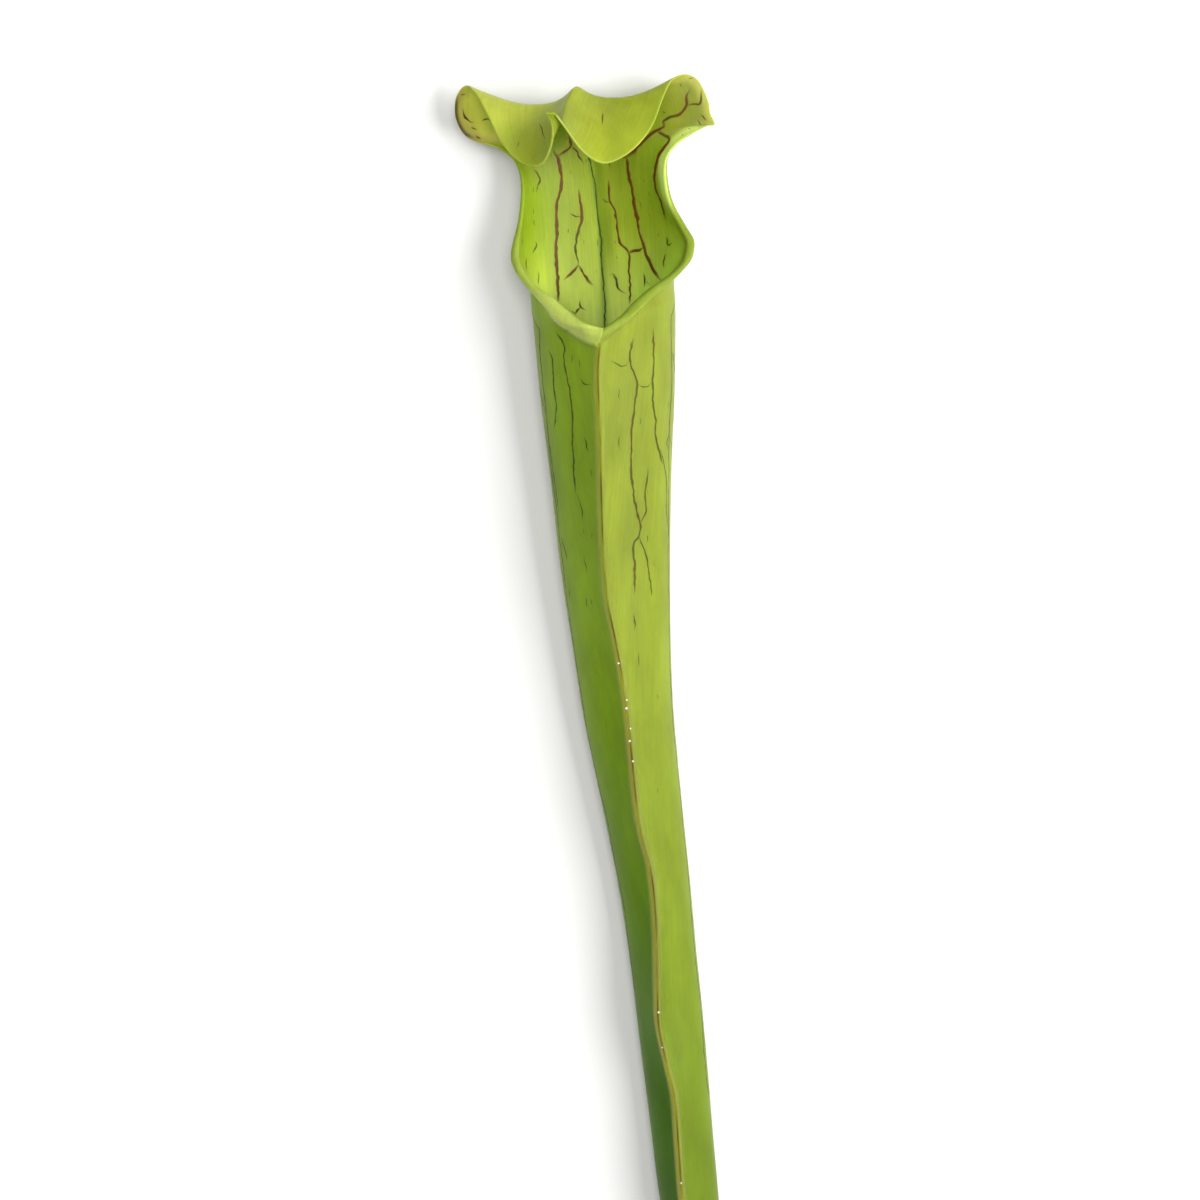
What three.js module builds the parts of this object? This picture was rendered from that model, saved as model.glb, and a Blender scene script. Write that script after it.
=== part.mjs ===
// A trumpet pitcher: one leaf grown as a slender tube with a flared mouth and a lobed hood,
// cut through its stalk and lying on its back with the mouth up. Millimetres, +Z up.
// While it is shaped, the cut is at y = 0 and the tube runs along +Y. At the end the leaf
// is moved so that the middle of its box is over the origin.

import * as THREE from 'three';

// Stations along the leaf. Along the tube a station is the distance from the cut.
const HOLLOW_START = 42;
const NOTCH = 272.2;
const HOOD_START = 306;
const TIP = 349;

// Thickness of the leaf by station: fleshy where the hollow ends, thin at the hood's tip.
const WALL = [[HOLLOW_START, 2.1], [60, 1.4], [80, 0.9], [336, 0.9], [346, 0.6], [TIP, 0.6]];

// Cross-section of the tube: an egg with its narrow end up, drawn out into a wedge.
const EGG = 0.55;
const FLANK = 0.75;

// Fold along the middle of the back wall.
const FOLD_WIDTH = 5;

// Rolled lip: how blunt its edge is, and where the roll meets the wall, in radii from the
// edge. The roll is thrown out from a height that is a share of the tube's depth, over so
// many radii from the edge, and fully from the second share of the thickest lip.
const EDGE_BLUNTNESS = 0.45;
const LIP_FOOT = 2.8;
const LIP_RADIUS = 1.75;
const LIP_CENTRE = 0.42;
const THROWN_RADII = 3;
const THROWN_FULLY = 0.4;

// How far round from the midrib the edge starts to pull the section, and how gently.
const PULL_START = 0.35;
const PULL_POWER = 1.5;

// Wing along the front seam, and the flat strip that the leaf rests on.
const CREST_HALF = 0.45;
const WING_FOOT = 1.6;

// Inside the seam the wall is thicker, because its flanks meet there at an angle.
const SEAM_DEPTH = 1.4;
const NEAR_SEAM = 4;
const REST_HALF = 2.4;

// Half of the tube's width, and its depth, by station.
const HALF_WIDTH = [
  [0, 4.3], [30, 6], [54, 7.25], [75, 7.6], [96, 8], [116, 8.15], [136, 8.7], [157, 9.65],
  [196, 11.75], [216, 13.05], [235, 14.2], [254, 15.6], [277, 16.7], [292, 17.2], [310, 17.4],
];
const DEPTH = [
  [0, 9], [30, 11.4], [62, 13.8], [109, 15.8], [136, 17.4], [157, 19], [196, 22.6],
  [235, 26.8], [262, 30], [277, 31.4], [306, 31],
];

// Middle line of the back wall and the hood, station then x, y, z.
const MIDRIB = [
  [0, 2.2, 0, 2.4], [54, 0.35, 54, 0.9], [75, 0.1, 75, 0.3], [96, -0.1, 96, -0.2],
  [116, -0.4, 116, -0.35], [136, -0.9, 136, -0.35], [157, -2.05, 157, -0.35],
  [177, -3.1, 177, -0.35], [196, -3.15, 196, -0.35], [216, -2.75, 216, -0.35],
  [235, -1.9, 235, -0.35], [254, -0.9, 254, -0.25], [272, 0, 272, 0.1], [288, 0.6, 288, 0.9],
  [299, 0.9, 299, 2], [309, 1, 309, 3.8], [317, 0.7, 316.6, 6.2], [325, 0, 323, 10.4],
  [333, -1.4, 326.2, 16.4], [341, -4.1, 322.4, 23], [346, -5.6, 318.7, 28.6],
  [349, -7.4, 320.9, 31.4],
];

// Crest of the front seam, station then x.
const SEAM = [
  [0, 2], [54, -1.4], [73, -1.2], [84, -1], [94, -2.2], [103, -3.2], [112, -2.7],
  [129, -1.5], [142, -1.5], [152, -3], [160, -3.4], [185, -3.6], [200, -4.7], [209, -5.6],
  [222, -5.4], [235, -4.6], [248, -3.6], [262, -2.8], [269, -1.6], [NOTCH, -0.6],
];

// Free edges, from the notch along the lip and the neck and round the hood's lobes,
// station then x, y, z. The first point of both is the top of the seam.
const SEAM_TOP = [NOTCH, -0.6, NOTCH, 31.2];
const RIGHT_EDGE = [
  SEAM_TOP, [274.6, 3.3, 274.4, 28.4], [277, 6.6, 277, 25], [279.8, 10.9, 279.7, 21.8],
  [282, 15.5, 281.8, 18], [284.4, 19, 284.2, 15.6], [286.6, 20.4, 286.4, 14.4],
  [289, 20.9, 288.9, 13.5], [292, 19.9, 291.8, 12.8], [298, 17.8, 297.9, 12],
  [303.6, 17.3, 303.6, 11.4], [308, 18.2, 308.2, 10.6], [311, 21, 311.1, 10],
  [313.6, 24.4, 312.9, 9.4], [316.2, 27.9, 314.3, 9], [317.3, 29.8, 314.5, 9],
  [318.6, 29, 316.8, 8.6], [321.4, 28.6, 320.2, 8.6], [325, 26.6, 324.9, 9.6],
  [327.6, 23.8, 326.7, 11], [330, 20.8, 325.9, 13.5], [333, 18.2, 322.2, 17],
  [337, 14.9, 315.9, 20.8], [340.2, 10.7, 311.5, 23.5], [342.6, 6, 309, 25.6],
  [344.2, 2.3, 308.8, 27.2], [345.6, -1.4, 311.8, 29], [347.4, -4.4, 317, 30.5],
  [349, -6.2, 320.2, 31.8],
];
const LEFT_EDGE = [
  SEAM_TOP, [274.6, -4.8, 273.9, 28.6], [277, -8.2, 276.8, 25.2], [279.8, -11.4, 279.8, 22],
  [282.4, -14.8, 282.3, 18.6], [285, -17.2, 285, 16.2], [287, -18.3, 287.1, 15],
  [289, -18.7, 289.1, 14.1], [292, -18.4, 292, 13.3], [298, -17, 298.2, 12.1],
  [304.4, -16.1, 304.6, 11.2], [308, -16.4, 308, 10.7], [311, -17.6, 311.1, 10],
  [314, -21, 313.9, 9.1], [317, -25.3, 315.7, 8.4], [319.4, -28.2, 317.9, 7.8],
  [322, -29.7, 322, 7.5], [325, -28.9, 326.7, 7.9], [327.6, -26.4, 329.2, 9.6],
  [330, -24.5, 327.2, 13], [333, -22.2, 322.2, 17], [336, -20, 316.6, 20],
  [339, -17.4, 312.2, 22.6], [341.4, -13.9, 309.7, 25], [343.4, -10.7, 310, 27.2],
  [345.4, -8.5, 314.2, 28.8], [347.4, -8, 318.6, 30], [349, -8.6, 321.2, 31],
];

// Lip radius, wing height, fold height, and the hood's ridge and hollow, by station.
const LEFT_LIP = [
  [NOTCH, LIP_RADIUS], [274.2, 1.95], [277, 1.8], [283, 1.45], [290, 1], [297, 0.6], [306, 0.45],
  [312, 0],
];
const RIGHT_LIP = [
  [NOTCH, LIP_RADIUS], [276, 1.5], [283, 1.2], [290, 1], [297, 0.7], [306, 0.5], [312, 0],
];
const WING_HEIGHT = [
  [0, 1], [30, 2.6], [62, 3.4], [138, 3.8], [209, 2.8], [250, 1.5], [266, 0.5], [NOTCH, 0],
];
const FOLD_HEIGHT = [
  [0, 0.2], [200, 0.25], [262, 0.5], [280, 0.9], [306, 1], [320, 0.3], [TIP, 0],
];
const RIDGE_HEIGHT = [[HOOD_START, 0], [318, 0.6], [326, 1.8], [334, 2.2], [342, 1.2], [346, 0]];
const RIDGE_WIDTH = 2.2;
const HOOD_SAG = [[HOOD_START, 0], [318, 0.8], [328, 1.4], [336, 1.2], [TIP, 0]];

// Angle round the section at which the open wall ends, by station.
const END_ANGLE = [
  [NOTCH, Math.PI], [274.6, 2.76], [277, 2.34], [279.8, 2], [282.2, 1.7], [285, 1.5],
  [289, 1.38], [295, 1.28], [303, 1.22], [320, 1.2],
];

// Where the open section turns into the hood.
const BLEND_START = 288;
const BLEND_END = 316;

// Rows of the mesh: each span ends at a station and has a number of rows.
const ROW_SPANS = [
  [HOLLOW_START, 4], [162, 14], [240, 8], [262, 3], [NOTCH, 9], [283, 13], [289, 4],
  [308, 7], [317.3, 6], [329, 6], [341, 6], [TIP, 6],
];

// Columns of the mesh on each half: distances from the midrib, and from the edge or seam,
// spread out by station where the rows meet the lip at a small angle.
const MIDRIB_DISTANCES = [0, REST_HALF];
const EDGE_DISTANCES = [5.4, 3.9, 2.7, 1.7, 0.95, 0.4, 0];
const EDGE_SPREAD = [[255, 1], [NOTCH, 2.2], [277, 2.2], [284, 1.3], [290, 1]];
const BETWEEN = 5;
const ROOM = 13;

// Finite differences and samples used for measuring the surface.
const STEP = 0.05;
const SIDE_STEP = STEP / 10;
const MIDRIB_STEP = 0.5;
const SAMPLES = 32;
const LIP_SPACING = 0.75;

const UP = new THREE.Vector3(0, 0, 1);
const mix = THREE.MathUtils.lerp;
const smooth = THREE.MathUtils.smoothstep;

// A smooth curve through keys [station, values...], with slopes from the neighbours.
function through(keys, station) {
  const last = keys.length - 1;
  const at = THREE.MathUtils.clamp(station, keys[0][0], keys[last][0]);
  let i = 0;
  while (i < last - 1 && keys[i + 1][0] <= at) i += 1;
  const slope = (k, c) => {
    const a = keys[Math.max(k - 1, 0)];
    const b = keys[Math.min(k + 1, last)];
    return (b[c] - a[c]) / (b[0] - a[0]);
  };
  const [a, b] = [keys[i], keys[i + 1]];
  const width = b[0] - a[0];
  const t = (at - a[0]) / width;
  const values = [];
  for (let c = 1; c < a.length; c += 1) {
    values.push(
      (2 * t ** 3 - 3 * t ** 2 + 1) * a[c] + (t ** 3 - 2 * t ** 2 + t) * width * slope(i, c)
      + (3 * t ** 2 - 2 * t ** 3) * b[c] + (t ** 3 - t ** 2) * width * slope(i + 1, c),
    );
  }
  return values;
}

function pointOn(keys, station) {
  return new THREE.Vector3(...through(keys, station));
}

// Unit section at an angle from the back: how far across, and how far up.
const EGG_MEAN = 1 - EGG / 2;
const EGG_SWING = EGG / 2;
const EGG_ROOT = Math.hypot(EGG_MEAN, EGG_SWING * Math.sqrt(8));
const WIDEST = Math.acos((EGG_ROOT - EGG_MEAN) / (4 * EGG_SWING));
const WIDEST_UP = (1 - Math.cos(WIDEST)) / 2;
const WIDEST_ACROSS = Math.sin(WIDEST) * (1 - EGG * WIDEST_UP);

function unitSection(angle) {
  const up = (1 - Math.cos(angle)) / 2;
  const across = (Math.sin(angle) * (1 - EGG * up)) / WIDEST_ACROSS;
  const along = (angle - WIDEST) / (Math.PI - WIDEST);
  const straight = FLANK * smooth(along, 0, 1);
  return [mix(across, 1 - along, straight), mix(up, mix(WIDEST_UP, 1, along), straight)];
}

function sectionPoint(side, angle, station) {
  const [across, up] = unitSection(angle);
  const x = side * through(HALF_WIDTH, station)[0] * across;
  const beside = 1 - Math.exp(-Math.abs(x) / FOLD_WIDTH);
  const fold = through(FOLD_HEIGHT, station)[0] * beside * (1 - up);
  const lift = through(DEPTH, station)[0] * up + fold;
  return pointOn(MIDRIB, station).add(new THREE.Vector3(x, 0, lift));
}

// Top of the seam below the notch, and the free edge above it.
function edgePoint(side, station) {
  if (station > NOTCH) return pointOn(side < 0 ? LEFT_EDGE : RIGHT_EDGE, station);
  const crest = through(MIDRIB, station)[2] + through(DEPTH, station)[0];
  const missing = SEAM_TOP[3] - through(MIDRIB, NOTCH)[2] - through(DEPTH, NOTCH)[0];
  const rise = missing * smooth(station, HOLLOW_START, NOTCH);
  return new THREE.Vector3(through(SEAM, station)[0], station, crest + rise);
}

// The outer face. u runs from -1 at the left edge or seam, over 0 at the midrib, to 1.
function outerFace(u, station) {
  const side = u < 0 ? -1 : 1;
  const share = Math.abs(u);
  const edge = edgePoint(side, station);
  const endAngle = station <= NOTCH ? Math.PI : through(END_ANGLE, station)[0];
  const pull = smooth(share, PULL_START, 1) ** PULL_POWER;
  const wall = sectionPoint(side, endAngle * share, station);
  wall.addScaledVector(edge.clone().sub(sectionPoint(side, endAngle, station)), pull);
  const blend = smooth(station, BLEND_START, BLEND_END);
  if (blend === 0) return wall;

  const middle = pointOn(MIDRIB, station);
  const ahead = pointOn(MIDRIB, Math.min(station + MIDRIB_STEP, TIP));
  const tangent = ahead.sub(pointOn(MIDRIB, station - MIDRIB_STEP)).normalize();
  const inward = new THREE.Vector3(0, -tangent.z, tangent.y);
  const reach = edge.clone().sub(middle);
  const ridge = through(RIDGE_HEIGHT, station)[0];
  const fallen = 1 - 1 / (1 + (share * reach.length() / RIDGE_WIDTH) ** 2);
  const sag = through(HOOD_SAG, station)[0] * Math.sin(Math.PI * share);
  const hood = new THREE.Vector3(reach.x * share, reach.y * share ** 2, reach.z * share ** 2);
  hood.add(middle).addScaledVector(inward, (sag + ridge * fallen) * (1 - share ** 4));
  return wall.lerp(hood, blend);
}

// Unit normal of the outer face, pointing out of the leaf.
function outward(u, station) {
  const closed = station <= NOTCH && Math.abs(u) === 1;
  const before = closed ? 1 - SIDE_STEP : Math.max(u - SIDE_STEP, -1);
  const after = closed ? SIDE_STEP - 1 : Math.min(u + SIDE_STEP, 1);
  const across = outerFace(after, station).sub(outerFace(before, station));
  const low = station <= NOTCH || station > TIP - STEP ? Math.max(station - STEP, 0) : station;
  const high = Math.min(Math.max(low + STEP, station), TIP);
  const along = outerFace(u, high).sub(outerFace(u, low));
  return along.cross(across).normalize();
}

// The lip and the hood's rim: points along both free edges, each with its radius.
function rimPath(side) {
  const count = Math.ceil((TIP - NOTCH) / LIP_SPACING);
  const radii = side < 0 ? LEFT_LIP : RIGHT_LIP;
  return Array.from({ length: count + 1 }, (_, i) => {
    const station = mix(NOTCH + SIDE_STEP, TIP, i / count);
    return { point: edgePoint(side, station), radius: through(radii, station)[0] };
  });
}
const RIMS = { '-1': rimPath(-1), 1: rimPath(1) };

// Distance from a point to the free edge, and the radius of the rim there.
function nearestRim(point, side, station) {
  const sides = station <= NOTCH ? [-1, 1] : [side];
  const nearest = { distance: Infinity, radius: 0 };
  const segment = new THREE.Line3();
  const foot = new THREE.Vector3();
  for (const rim of sides.map((s) => RIMS[s])) {
    for (let i = 0; i + 1 < rim.length; i += 1) {
      segment.set(rim[i].point, rim[i + 1].point);
      const t = segment.closestPointToPointParameter(point, true);
      const distance = segment.at(t, foot).distanceTo(point);
      if (distance < nearest.distance) {
        nearest.distance = distance;
        nearest.radius = mix(rim[i].radius, rim[i + 1].radius, t);
      }
    }
  }
  return nearest;
}

// Offsets of both faces from the surface, at a distance from the rim of some radius.
function faceOffsets(distance, radius, wall) {
  const centre = radius - wall;
  if (distance >= radius) {
    const foot = 1 - smooth(distance, radius, LIP_FOOT * radius);
    return [(centre + radius) * foot, -wall];
  }
  const share = (radius - distance) / radius;
  const bulge = radius * Math.sqrt(Math.max(1 - share ** 2, EDGE_BLUNTNESS ** 2));
  return [centre + bulge, centre - bulge];
}

// Both faces at one place, with the rim, the wing and the resting strip.
function facesAt(u, station) {
  const side = u < 0 ? -1 : 1;
  const place = outerFace(u, station);
  const normal = outward(u, station);
  const wall = through(WALL, station)[0];
  const rim = nearestRim(place, side, station);
  const radius = Math.max(rim.radius, wall / 2);
  const [out, back] = faceOffsets(rim.distance, radius, wall);

  const thrown = new THREE.Vector3(place.x, 0, place.z).sub(pointOn(MIDRIB, station).setY(0));
  thrown.z -= LIP_CENTRE * through(DEPTH, station)[0];
  const size = (radius - wall / 2) / (LIP_RADIUS - wall / 2);
  const lip = size * (1 - smooth(rim.distance, 0, THROWN_RADII * radius));
  normal.lerp(thrown.normalize(), smooth(lip, 0, THROWN_FULLY)).normalize();
  const outer = place.clone().addScaledVector(normal, out);
  const inner = place.clone();
  if (station <= NOTCH) {
    const fromSeam = place.distanceTo(edgePoint(side, station));
    const wing = through(WING_HEIGHT, station)[0] * (1 - smooth(fromSeam, CREST_HALF, WING_FOOT));
    outer.addScaledVector(UP, wing);
    normal.lerp(UP.clone().multiplyScalar(SEAM_DEPTH), 1 - smooth(fromSeam, 0, NEAR_SEAM));
  }
  inner.addScaledVector(normal, back);
  outer.z = Math.max(outer.z, 0);
  return { outer, inner };
}

// Values of |u| for the mesh columns of one half, from the midrib to the edge.
function columnShares(side, station) {
  const lengths = [0];
  for (let i = 1; i <= SAMPLES; i += 1) {
    const a = outerFace((side * (i - 1)) / SAMPLES, station);
    lengths.push(lengths[i - 1] + a.distanceTo(outerFace((side * i) / SAMPLES, station)));
  }
  const total = lengths[SAMPLES];
  const scale = Math.min(1, total / ROOM);
  const inner = MIDRIB_DISTANCES.map((d) => d * scale);
  const spread = scale * through(EDGE_SPREAD, station)[0];
  const outer = EDGE_DISTANCES.map((d) => total - d * spread);
  const from = inner[inner.length - 1];
  const between = Array.from({ length: BETWEEN }, (_, i) => {
    return mix(from, outer[0], (i + 1) / (BETWEEN + 1));
  });
  return [...inner, ...between, ...outer].map((distance) => {
    let i = 0;
    while (i < SAMPLES - 1 && lengths[i + 1] < distance) i += 1;
    return Math.min((i + (distance - lengths[i]) / (lengths[i + 1] - lengths[i])) / SAMPLES, 1);
  });
}

// Stations of the mesh rows.
function rowStations() {
  const stations = [0];
  for (const [end, count] of ROW_SPANS) {
    const start = stations[stations.length - 1];
    for (let i = 1; i < count; i += 1) stations.push(mix(start, end, i / count));
    stations.push(end);
  }
  return stations;
}

// The leaf as one closed shell: outer face, inner face, rims, cut face and blind end.
function pitcherGeometry() {
  const positions = [];
  const index = [];
  const add = (point) => {
    positions.push(point.x, point.y, point.z);
    return positions.length / 3 - 1;
  };
  const quad = (a, b, c, d, flip) => {
    if (flip) index.push(a, b, d, a, d, c);
    else index.push(a, b, c, c, b, d);
  };
  const at = (k) => new THREE.Vector3().fromArray(positions, 3 * k);

  const rows = rowStations().map((station) => {
    const left = columnShares(-1, station).reverse().map((share) => -share);
    const places = [...left, ...columnShares(1, station).slice(1)];
    const hollow = station >= HOLLOW_START;
    const row = { station, outer: [], inner: [] };
    places.forEach((u, j) => {
      const repeated = station <= NOTCH && j === places.length - 1;
      const faces = repeated ? null : facesAt(u, station);
      row.outer.push(repeated ? row.outer[0] : add(faces.outer));
      if (hollow) row.inner.push(repeated ? row.inner[0] : add(faces.inner));
    });
    return row;
  });

  const columns = rows[0].outer.length - 1;
  for (let i = 0; i + 1 < rows.length; i += 1) {
    const [a, b] = [rows[i], rows[i + 1]];
    for (let j = 0; j < columns; j += 1) {
      const across = at(b.outer[j]).distanceTo(at(a.outer[j + 1]));
      const flip = at(a.outer[j]).distanceTo(at(b.outer[j + 1])) < across;
      quad(a.outer[j], b.outer[j], a.outer[j + 1], b.outer[j + 1], flip);
      if (a.inner.length) {
        const turned = index.length;
        quad(a.inner[j], b.inner[j], a.inner[j + 1], b.inner[j + 1], flip);
        for (let k = turned; k < index.length; k += 3) {
          [index[k + 1], index[k + 2]] = [index[k + 2], index[k + 1]];
        }
      }
    }
    if (a.station >= NOTCH) {
      quad(b.outer[0], a.outer[0], b.inner[0], a.inner[0], false);
      quad(a.outer[columns], b.outer[columns], a.inner[columns], b.inner[columns], false);
    }
  }
  const tip = rows[rows.length - 1];
  for (let j = 0; j < columns; j += 1) {
    quad(tip.outer[j + 1], tip.outer[j], tip.inner[j + 1], tip.inner[j], false);
  }

  const cap = (ring, turned) => {
    const middle = new THREE.Vector3();
    for (const k of ring) middle.add(at(k));
    const centre = add(middle.divideScalar(ring.length));
    ring.forEach((k, j) => {
      const next = ring[(j + 1) % ring.length];
      if (turned) index.push(centre, next, k);
      else index.push(centre, k, next);
    });
  };
  cap(rows[0].outer.slice(0, -1), false);
  cap(rows.find((row) => row.inner.length).inner.slice(0, -1), true);

  const geometry = new THREE.BufferGeometry();
  geometry.setAttribute('position', new THREE.Float32BufferAttribute(positions, 3));
  geometry.setIndex(index);
  geometry.computeBoundingBox();
  const middle = geometry.boundingBox.getCenter(new THREE.Vector3());
  geometry.translate(-middle.x, -middle.y, -geometry.boundingBox.min.z);
  geometry.computeVertexNormals();
  return geometry;
}

const leafGreen = new THREE.MeshStandardMaterial({ color: 0xa2b23f, roughness: 0.55, metalness: 0 });
const pitcher = new THREE.Mesh(pitcherGeometry(), leafGreen);
pitcher.name = 'pitcher';

const group = new THREE.Group();
group.add(pitcher);

export default group;
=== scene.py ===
# %% [markdown]
# # A trumpet pitcher, cut and laid on a table
#
# A trumpet pitcher is a single leaf. It grew as a slender tube with a wing along its front,
# a rolled lip round its mouth, and a ruffled hood over it. This lesson dresses the packed
# solid in a finer skin of the same measured shape, draws the veins over it, and lights it
# softly from the right. All shaping is done in millimetres with the cut stalk at y = 0,
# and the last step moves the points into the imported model's own place.

import bpy
import numpy as np
from mathutils import Matrix, Vector


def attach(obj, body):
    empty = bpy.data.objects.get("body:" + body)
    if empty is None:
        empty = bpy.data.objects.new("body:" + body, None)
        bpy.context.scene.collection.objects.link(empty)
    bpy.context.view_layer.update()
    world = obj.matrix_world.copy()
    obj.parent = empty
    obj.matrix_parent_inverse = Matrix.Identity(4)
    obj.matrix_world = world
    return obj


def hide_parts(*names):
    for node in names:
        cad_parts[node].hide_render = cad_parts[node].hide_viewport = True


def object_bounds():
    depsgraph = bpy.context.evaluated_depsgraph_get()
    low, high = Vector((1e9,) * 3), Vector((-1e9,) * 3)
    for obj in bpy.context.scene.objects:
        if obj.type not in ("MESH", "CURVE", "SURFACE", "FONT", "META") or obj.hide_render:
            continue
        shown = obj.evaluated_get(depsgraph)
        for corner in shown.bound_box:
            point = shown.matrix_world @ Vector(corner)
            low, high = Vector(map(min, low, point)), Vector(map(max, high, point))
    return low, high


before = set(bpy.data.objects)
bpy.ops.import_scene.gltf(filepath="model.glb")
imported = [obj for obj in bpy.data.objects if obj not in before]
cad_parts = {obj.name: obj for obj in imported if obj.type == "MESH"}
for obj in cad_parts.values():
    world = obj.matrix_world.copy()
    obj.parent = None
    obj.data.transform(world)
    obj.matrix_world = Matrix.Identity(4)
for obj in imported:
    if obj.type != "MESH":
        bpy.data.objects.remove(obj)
cad_low, cad_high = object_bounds()
print("nodes", sorted(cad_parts), "size mm",
      [round(1000 * (high - low), 1) for low, high in zip(cad_low, cad_high)])

# %% [markdown]
# ## The measured leaf
#
# The leaf is described by a few curves, each a short table of a station and the values there.
# Along the tube a station is simply the distance from the cut in millimetres. Past the notch,
# where the tube opens, it goes on along both free edges and meets itself at the hood's tip.
# Tables are easy to compare with the real leaf, and a smooth curve through them gives any
# place in between. A sculpted mesh would give the same look, but nothing could be remeasured.

# %% Stations and wall
HOLLOW_START = 42
NOTCH = 272.2
HOOD_START = 306
TIP = 349
LIP_RADIUS = 1.75
WALL = [[HOLLOW_START, 2.1], [60, 1.4], [80, 0.8], [290, 0.65], [318, 0.5], [TIP, 0.5]]

# %% Width, depth and middle line of the back wall
HALF_WIDTH = [
    [0, 4.3], [30, 6], [54, 7.25], [75, 7.6], [96, 8], [116, 8.15], [136, 8.7], [157, 9.65],
    [196, 11.75], [216, 13.05], [235, 14.2], [254, 15.6], [277, 16.7], [292, 17.2], [310, 17.4],
]
DEPTH = [
    [0, 9], [30, 11.4], [62, 13.8], [109, 15.8], [136, 17.4], [157, 19], [196, 22.6],
    [235, 26.8], [262, 30], [277, 31.4], [306, 31],
]
MIDRIB = [
    [0, 2.2, 0, 2.4], [54, 0.35, 54, 0.9], [75, 0.1, 75, 0.3], [96, -0.1, 96, -0.2],
    [116, -0.4, 116, -0.35], [136, -0.9, 136, -0.35], [157, -2.05, 157, -0.35],
    [177, -3.1, 177, -0.35], [196, -3.15, 196, -0.35], [216, -2.75, 216, -0.35],
    [235, -1.9, 235, -0.35], [254, -0.9, 254, -0.25], [272, 0, 272, 0.1],
    [288, 0.6, 288, 0.9], [299, 0.9, 299, 2], [309, 1, 309, 3.8], [317, 0.7, 316.6, 6.2],
    [325, 0, 323, 10.4], [333, -1.4, 326.2, 16.4], [341, -4.1, 322.4, 23],
    [346, -5.6, 318.7, 28.6], [349, -7.4, 320.9, 31.4],
]
SEAM = [
    [0, 2], [54, -1.4], [73, -1.2], [84, -1], [94, -2.2], [103, -3.2], [112, -2.7],
    [129, -1.5], [142, -1.5], [152, -3], [160, -3.4], [185, -3.6], [200, -4.7], [209, -5.6],
    [222, -5.4], [235, -4.6], [248, -3.6], [262, -2.8], [269, -1.6], [NOTCH, -0.6],
]

# %% Free edges of the lip, the neck and the hood
SEAM_TOP = [NOTCH, -0.6, NOTCH, 31.2]
RIGHT_EDGE = [
    SEAM_TOP, [274.6, 3.3, 274.4, 28.4], [277, 6.6, 277, 25], [279.8, 10.9, 279.7, 21.8],
    [282, 15.5, 281.8, 18], [284.4, 19, 284.2, 15.6], [286.6, 20.4, 286.4, 14.4],
    [289, 20.9, 288.9, 13.5], [292, 19.9, 291.8, 12.8], [298, 17.8, 297.9, 12],
    [303.6, 17.3, 303.6, 11.4], [308, 18.2, 308.2, 10.6], [311, 21, 311.1, 10],
    [313.6, 24.4, 312.9, 9.4], [316.2, 27.9, 314.3, 9], [317.3, 29.8, 314.5, 9],
    [318.6, 29, 316.8, 8.6], [321.4, 28.6, 320.2, 8.6], [325, 26.6, 324.9, 9.6],
    [327.6, 23.8, 326.7, 11], [330, 20.8, 325.9, 13.5], [333, 18.2, 322.2, 17],
    [337, 14.9, 315.9, 20.8], [340.2, 10.7, 311.5, 23.5], [342.6, 6, 309, 25.6],
    [344.2, 2.3, 308.8, 27.2], [345.6, -1.4, 311.8, 29], [347.4, -4.4, 317, 30.5],
    [349, -6.2, 320.2, 31.8],
]
LEFT_EDGE = [
    SEAM_TOP, [274.6, -4.8, 273.9, 28.6], [277, -8.2, 276.8, 25.2], [279.8, -11.4, 279.8, 22],
    [282.4, -14.8, 282.3, 18.6], [285, -17.2, 285, 16.2], [287, -18.3, 287.1, 15],
    [289, -18.7, 289.1, 14.1], [292, -18.4, 292, 13.3], [298, -17, 298.2, 12.1],
    [304.4, -16.1, 304.6, 11.2], [308, -16.4, 308, 10.7], [311, -17.6, 311.1, 10],
    [314, -21, 313.9, 9.1], [317, -25.3, 315.7, 8.4], [319.4, -28.2, 317.9, 7.8],
    [322, -29.7, 322, 7.5], [325, -28.9, 326.7, 7.9], [327.6, -26.4, 329.2, 9.6],
    [330, -24.5, 327.2, 13], [333, -22.2, 322.2, 17], [336, -20, 316.6, 20],
    [339, -17.4, 312.2, 22.6], [341.4, -13.9, 309.7, 25], [343.4, -10.7, 310, 27.2],
    [345.4, -8.5, 314.2, 28.8], [347.4, -8, 318.6, 30], [349, -8.6, 321.2, 31],
]

# %% Lip, wing, fold, ridge and sag
LEFT_LIP = [
    [NOTCH, LIP_RADIUS], [274.2, 1.95], [277, 1.7], [281, 1.3], [284, 1.15], [290, 1],
    [297, 0.6], [306, 0.45], [312, 0],
]
RIGHT_LIP = [
    [NOTCH, LIP_RADIUS], [276, 1.5], [283, 1.2], [290, 1], [297, 0.7], [306, 0.5], [312, 0],
]
WING_HEIGHT = [
    [0, 1], [30, 2.6], [62, 3.4], [138, 3.8], [209, 2.8], [250, 1.5], [266, 0.5], [NOTCH, 0],
]
FOLD_HEIGHT = [
    [0, 0.2], [200, 0.25], [262, 0.5], [280, 0.9], [306, 1], [320, 0.3], [TIP, 0],
]
RIDGE_HEIGHT = [[HOOD_START, 0], [318, 0.6], [326, 1.8], [334, 2.2], [342, 1.2], [346, 0]]
HOOD_SAG = [[HOOD_START, 0], [318, 0.8], [328, 1.4], [336, 1.2], [TIP, 0]]
END_ANGLE = [
    [NOTCH, np.pi], [274.6, 2.76], [277, 2.34], [279.8, 2], [282.2, 1.7], [285, 1.5],
    [289, 1.38], [295, 1.28], [303, 1.22], [320, 1.2],
]
print("edge keys", len(RIGHT_EDGE), "right and", len(LEFT_EDGE), "left")

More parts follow.
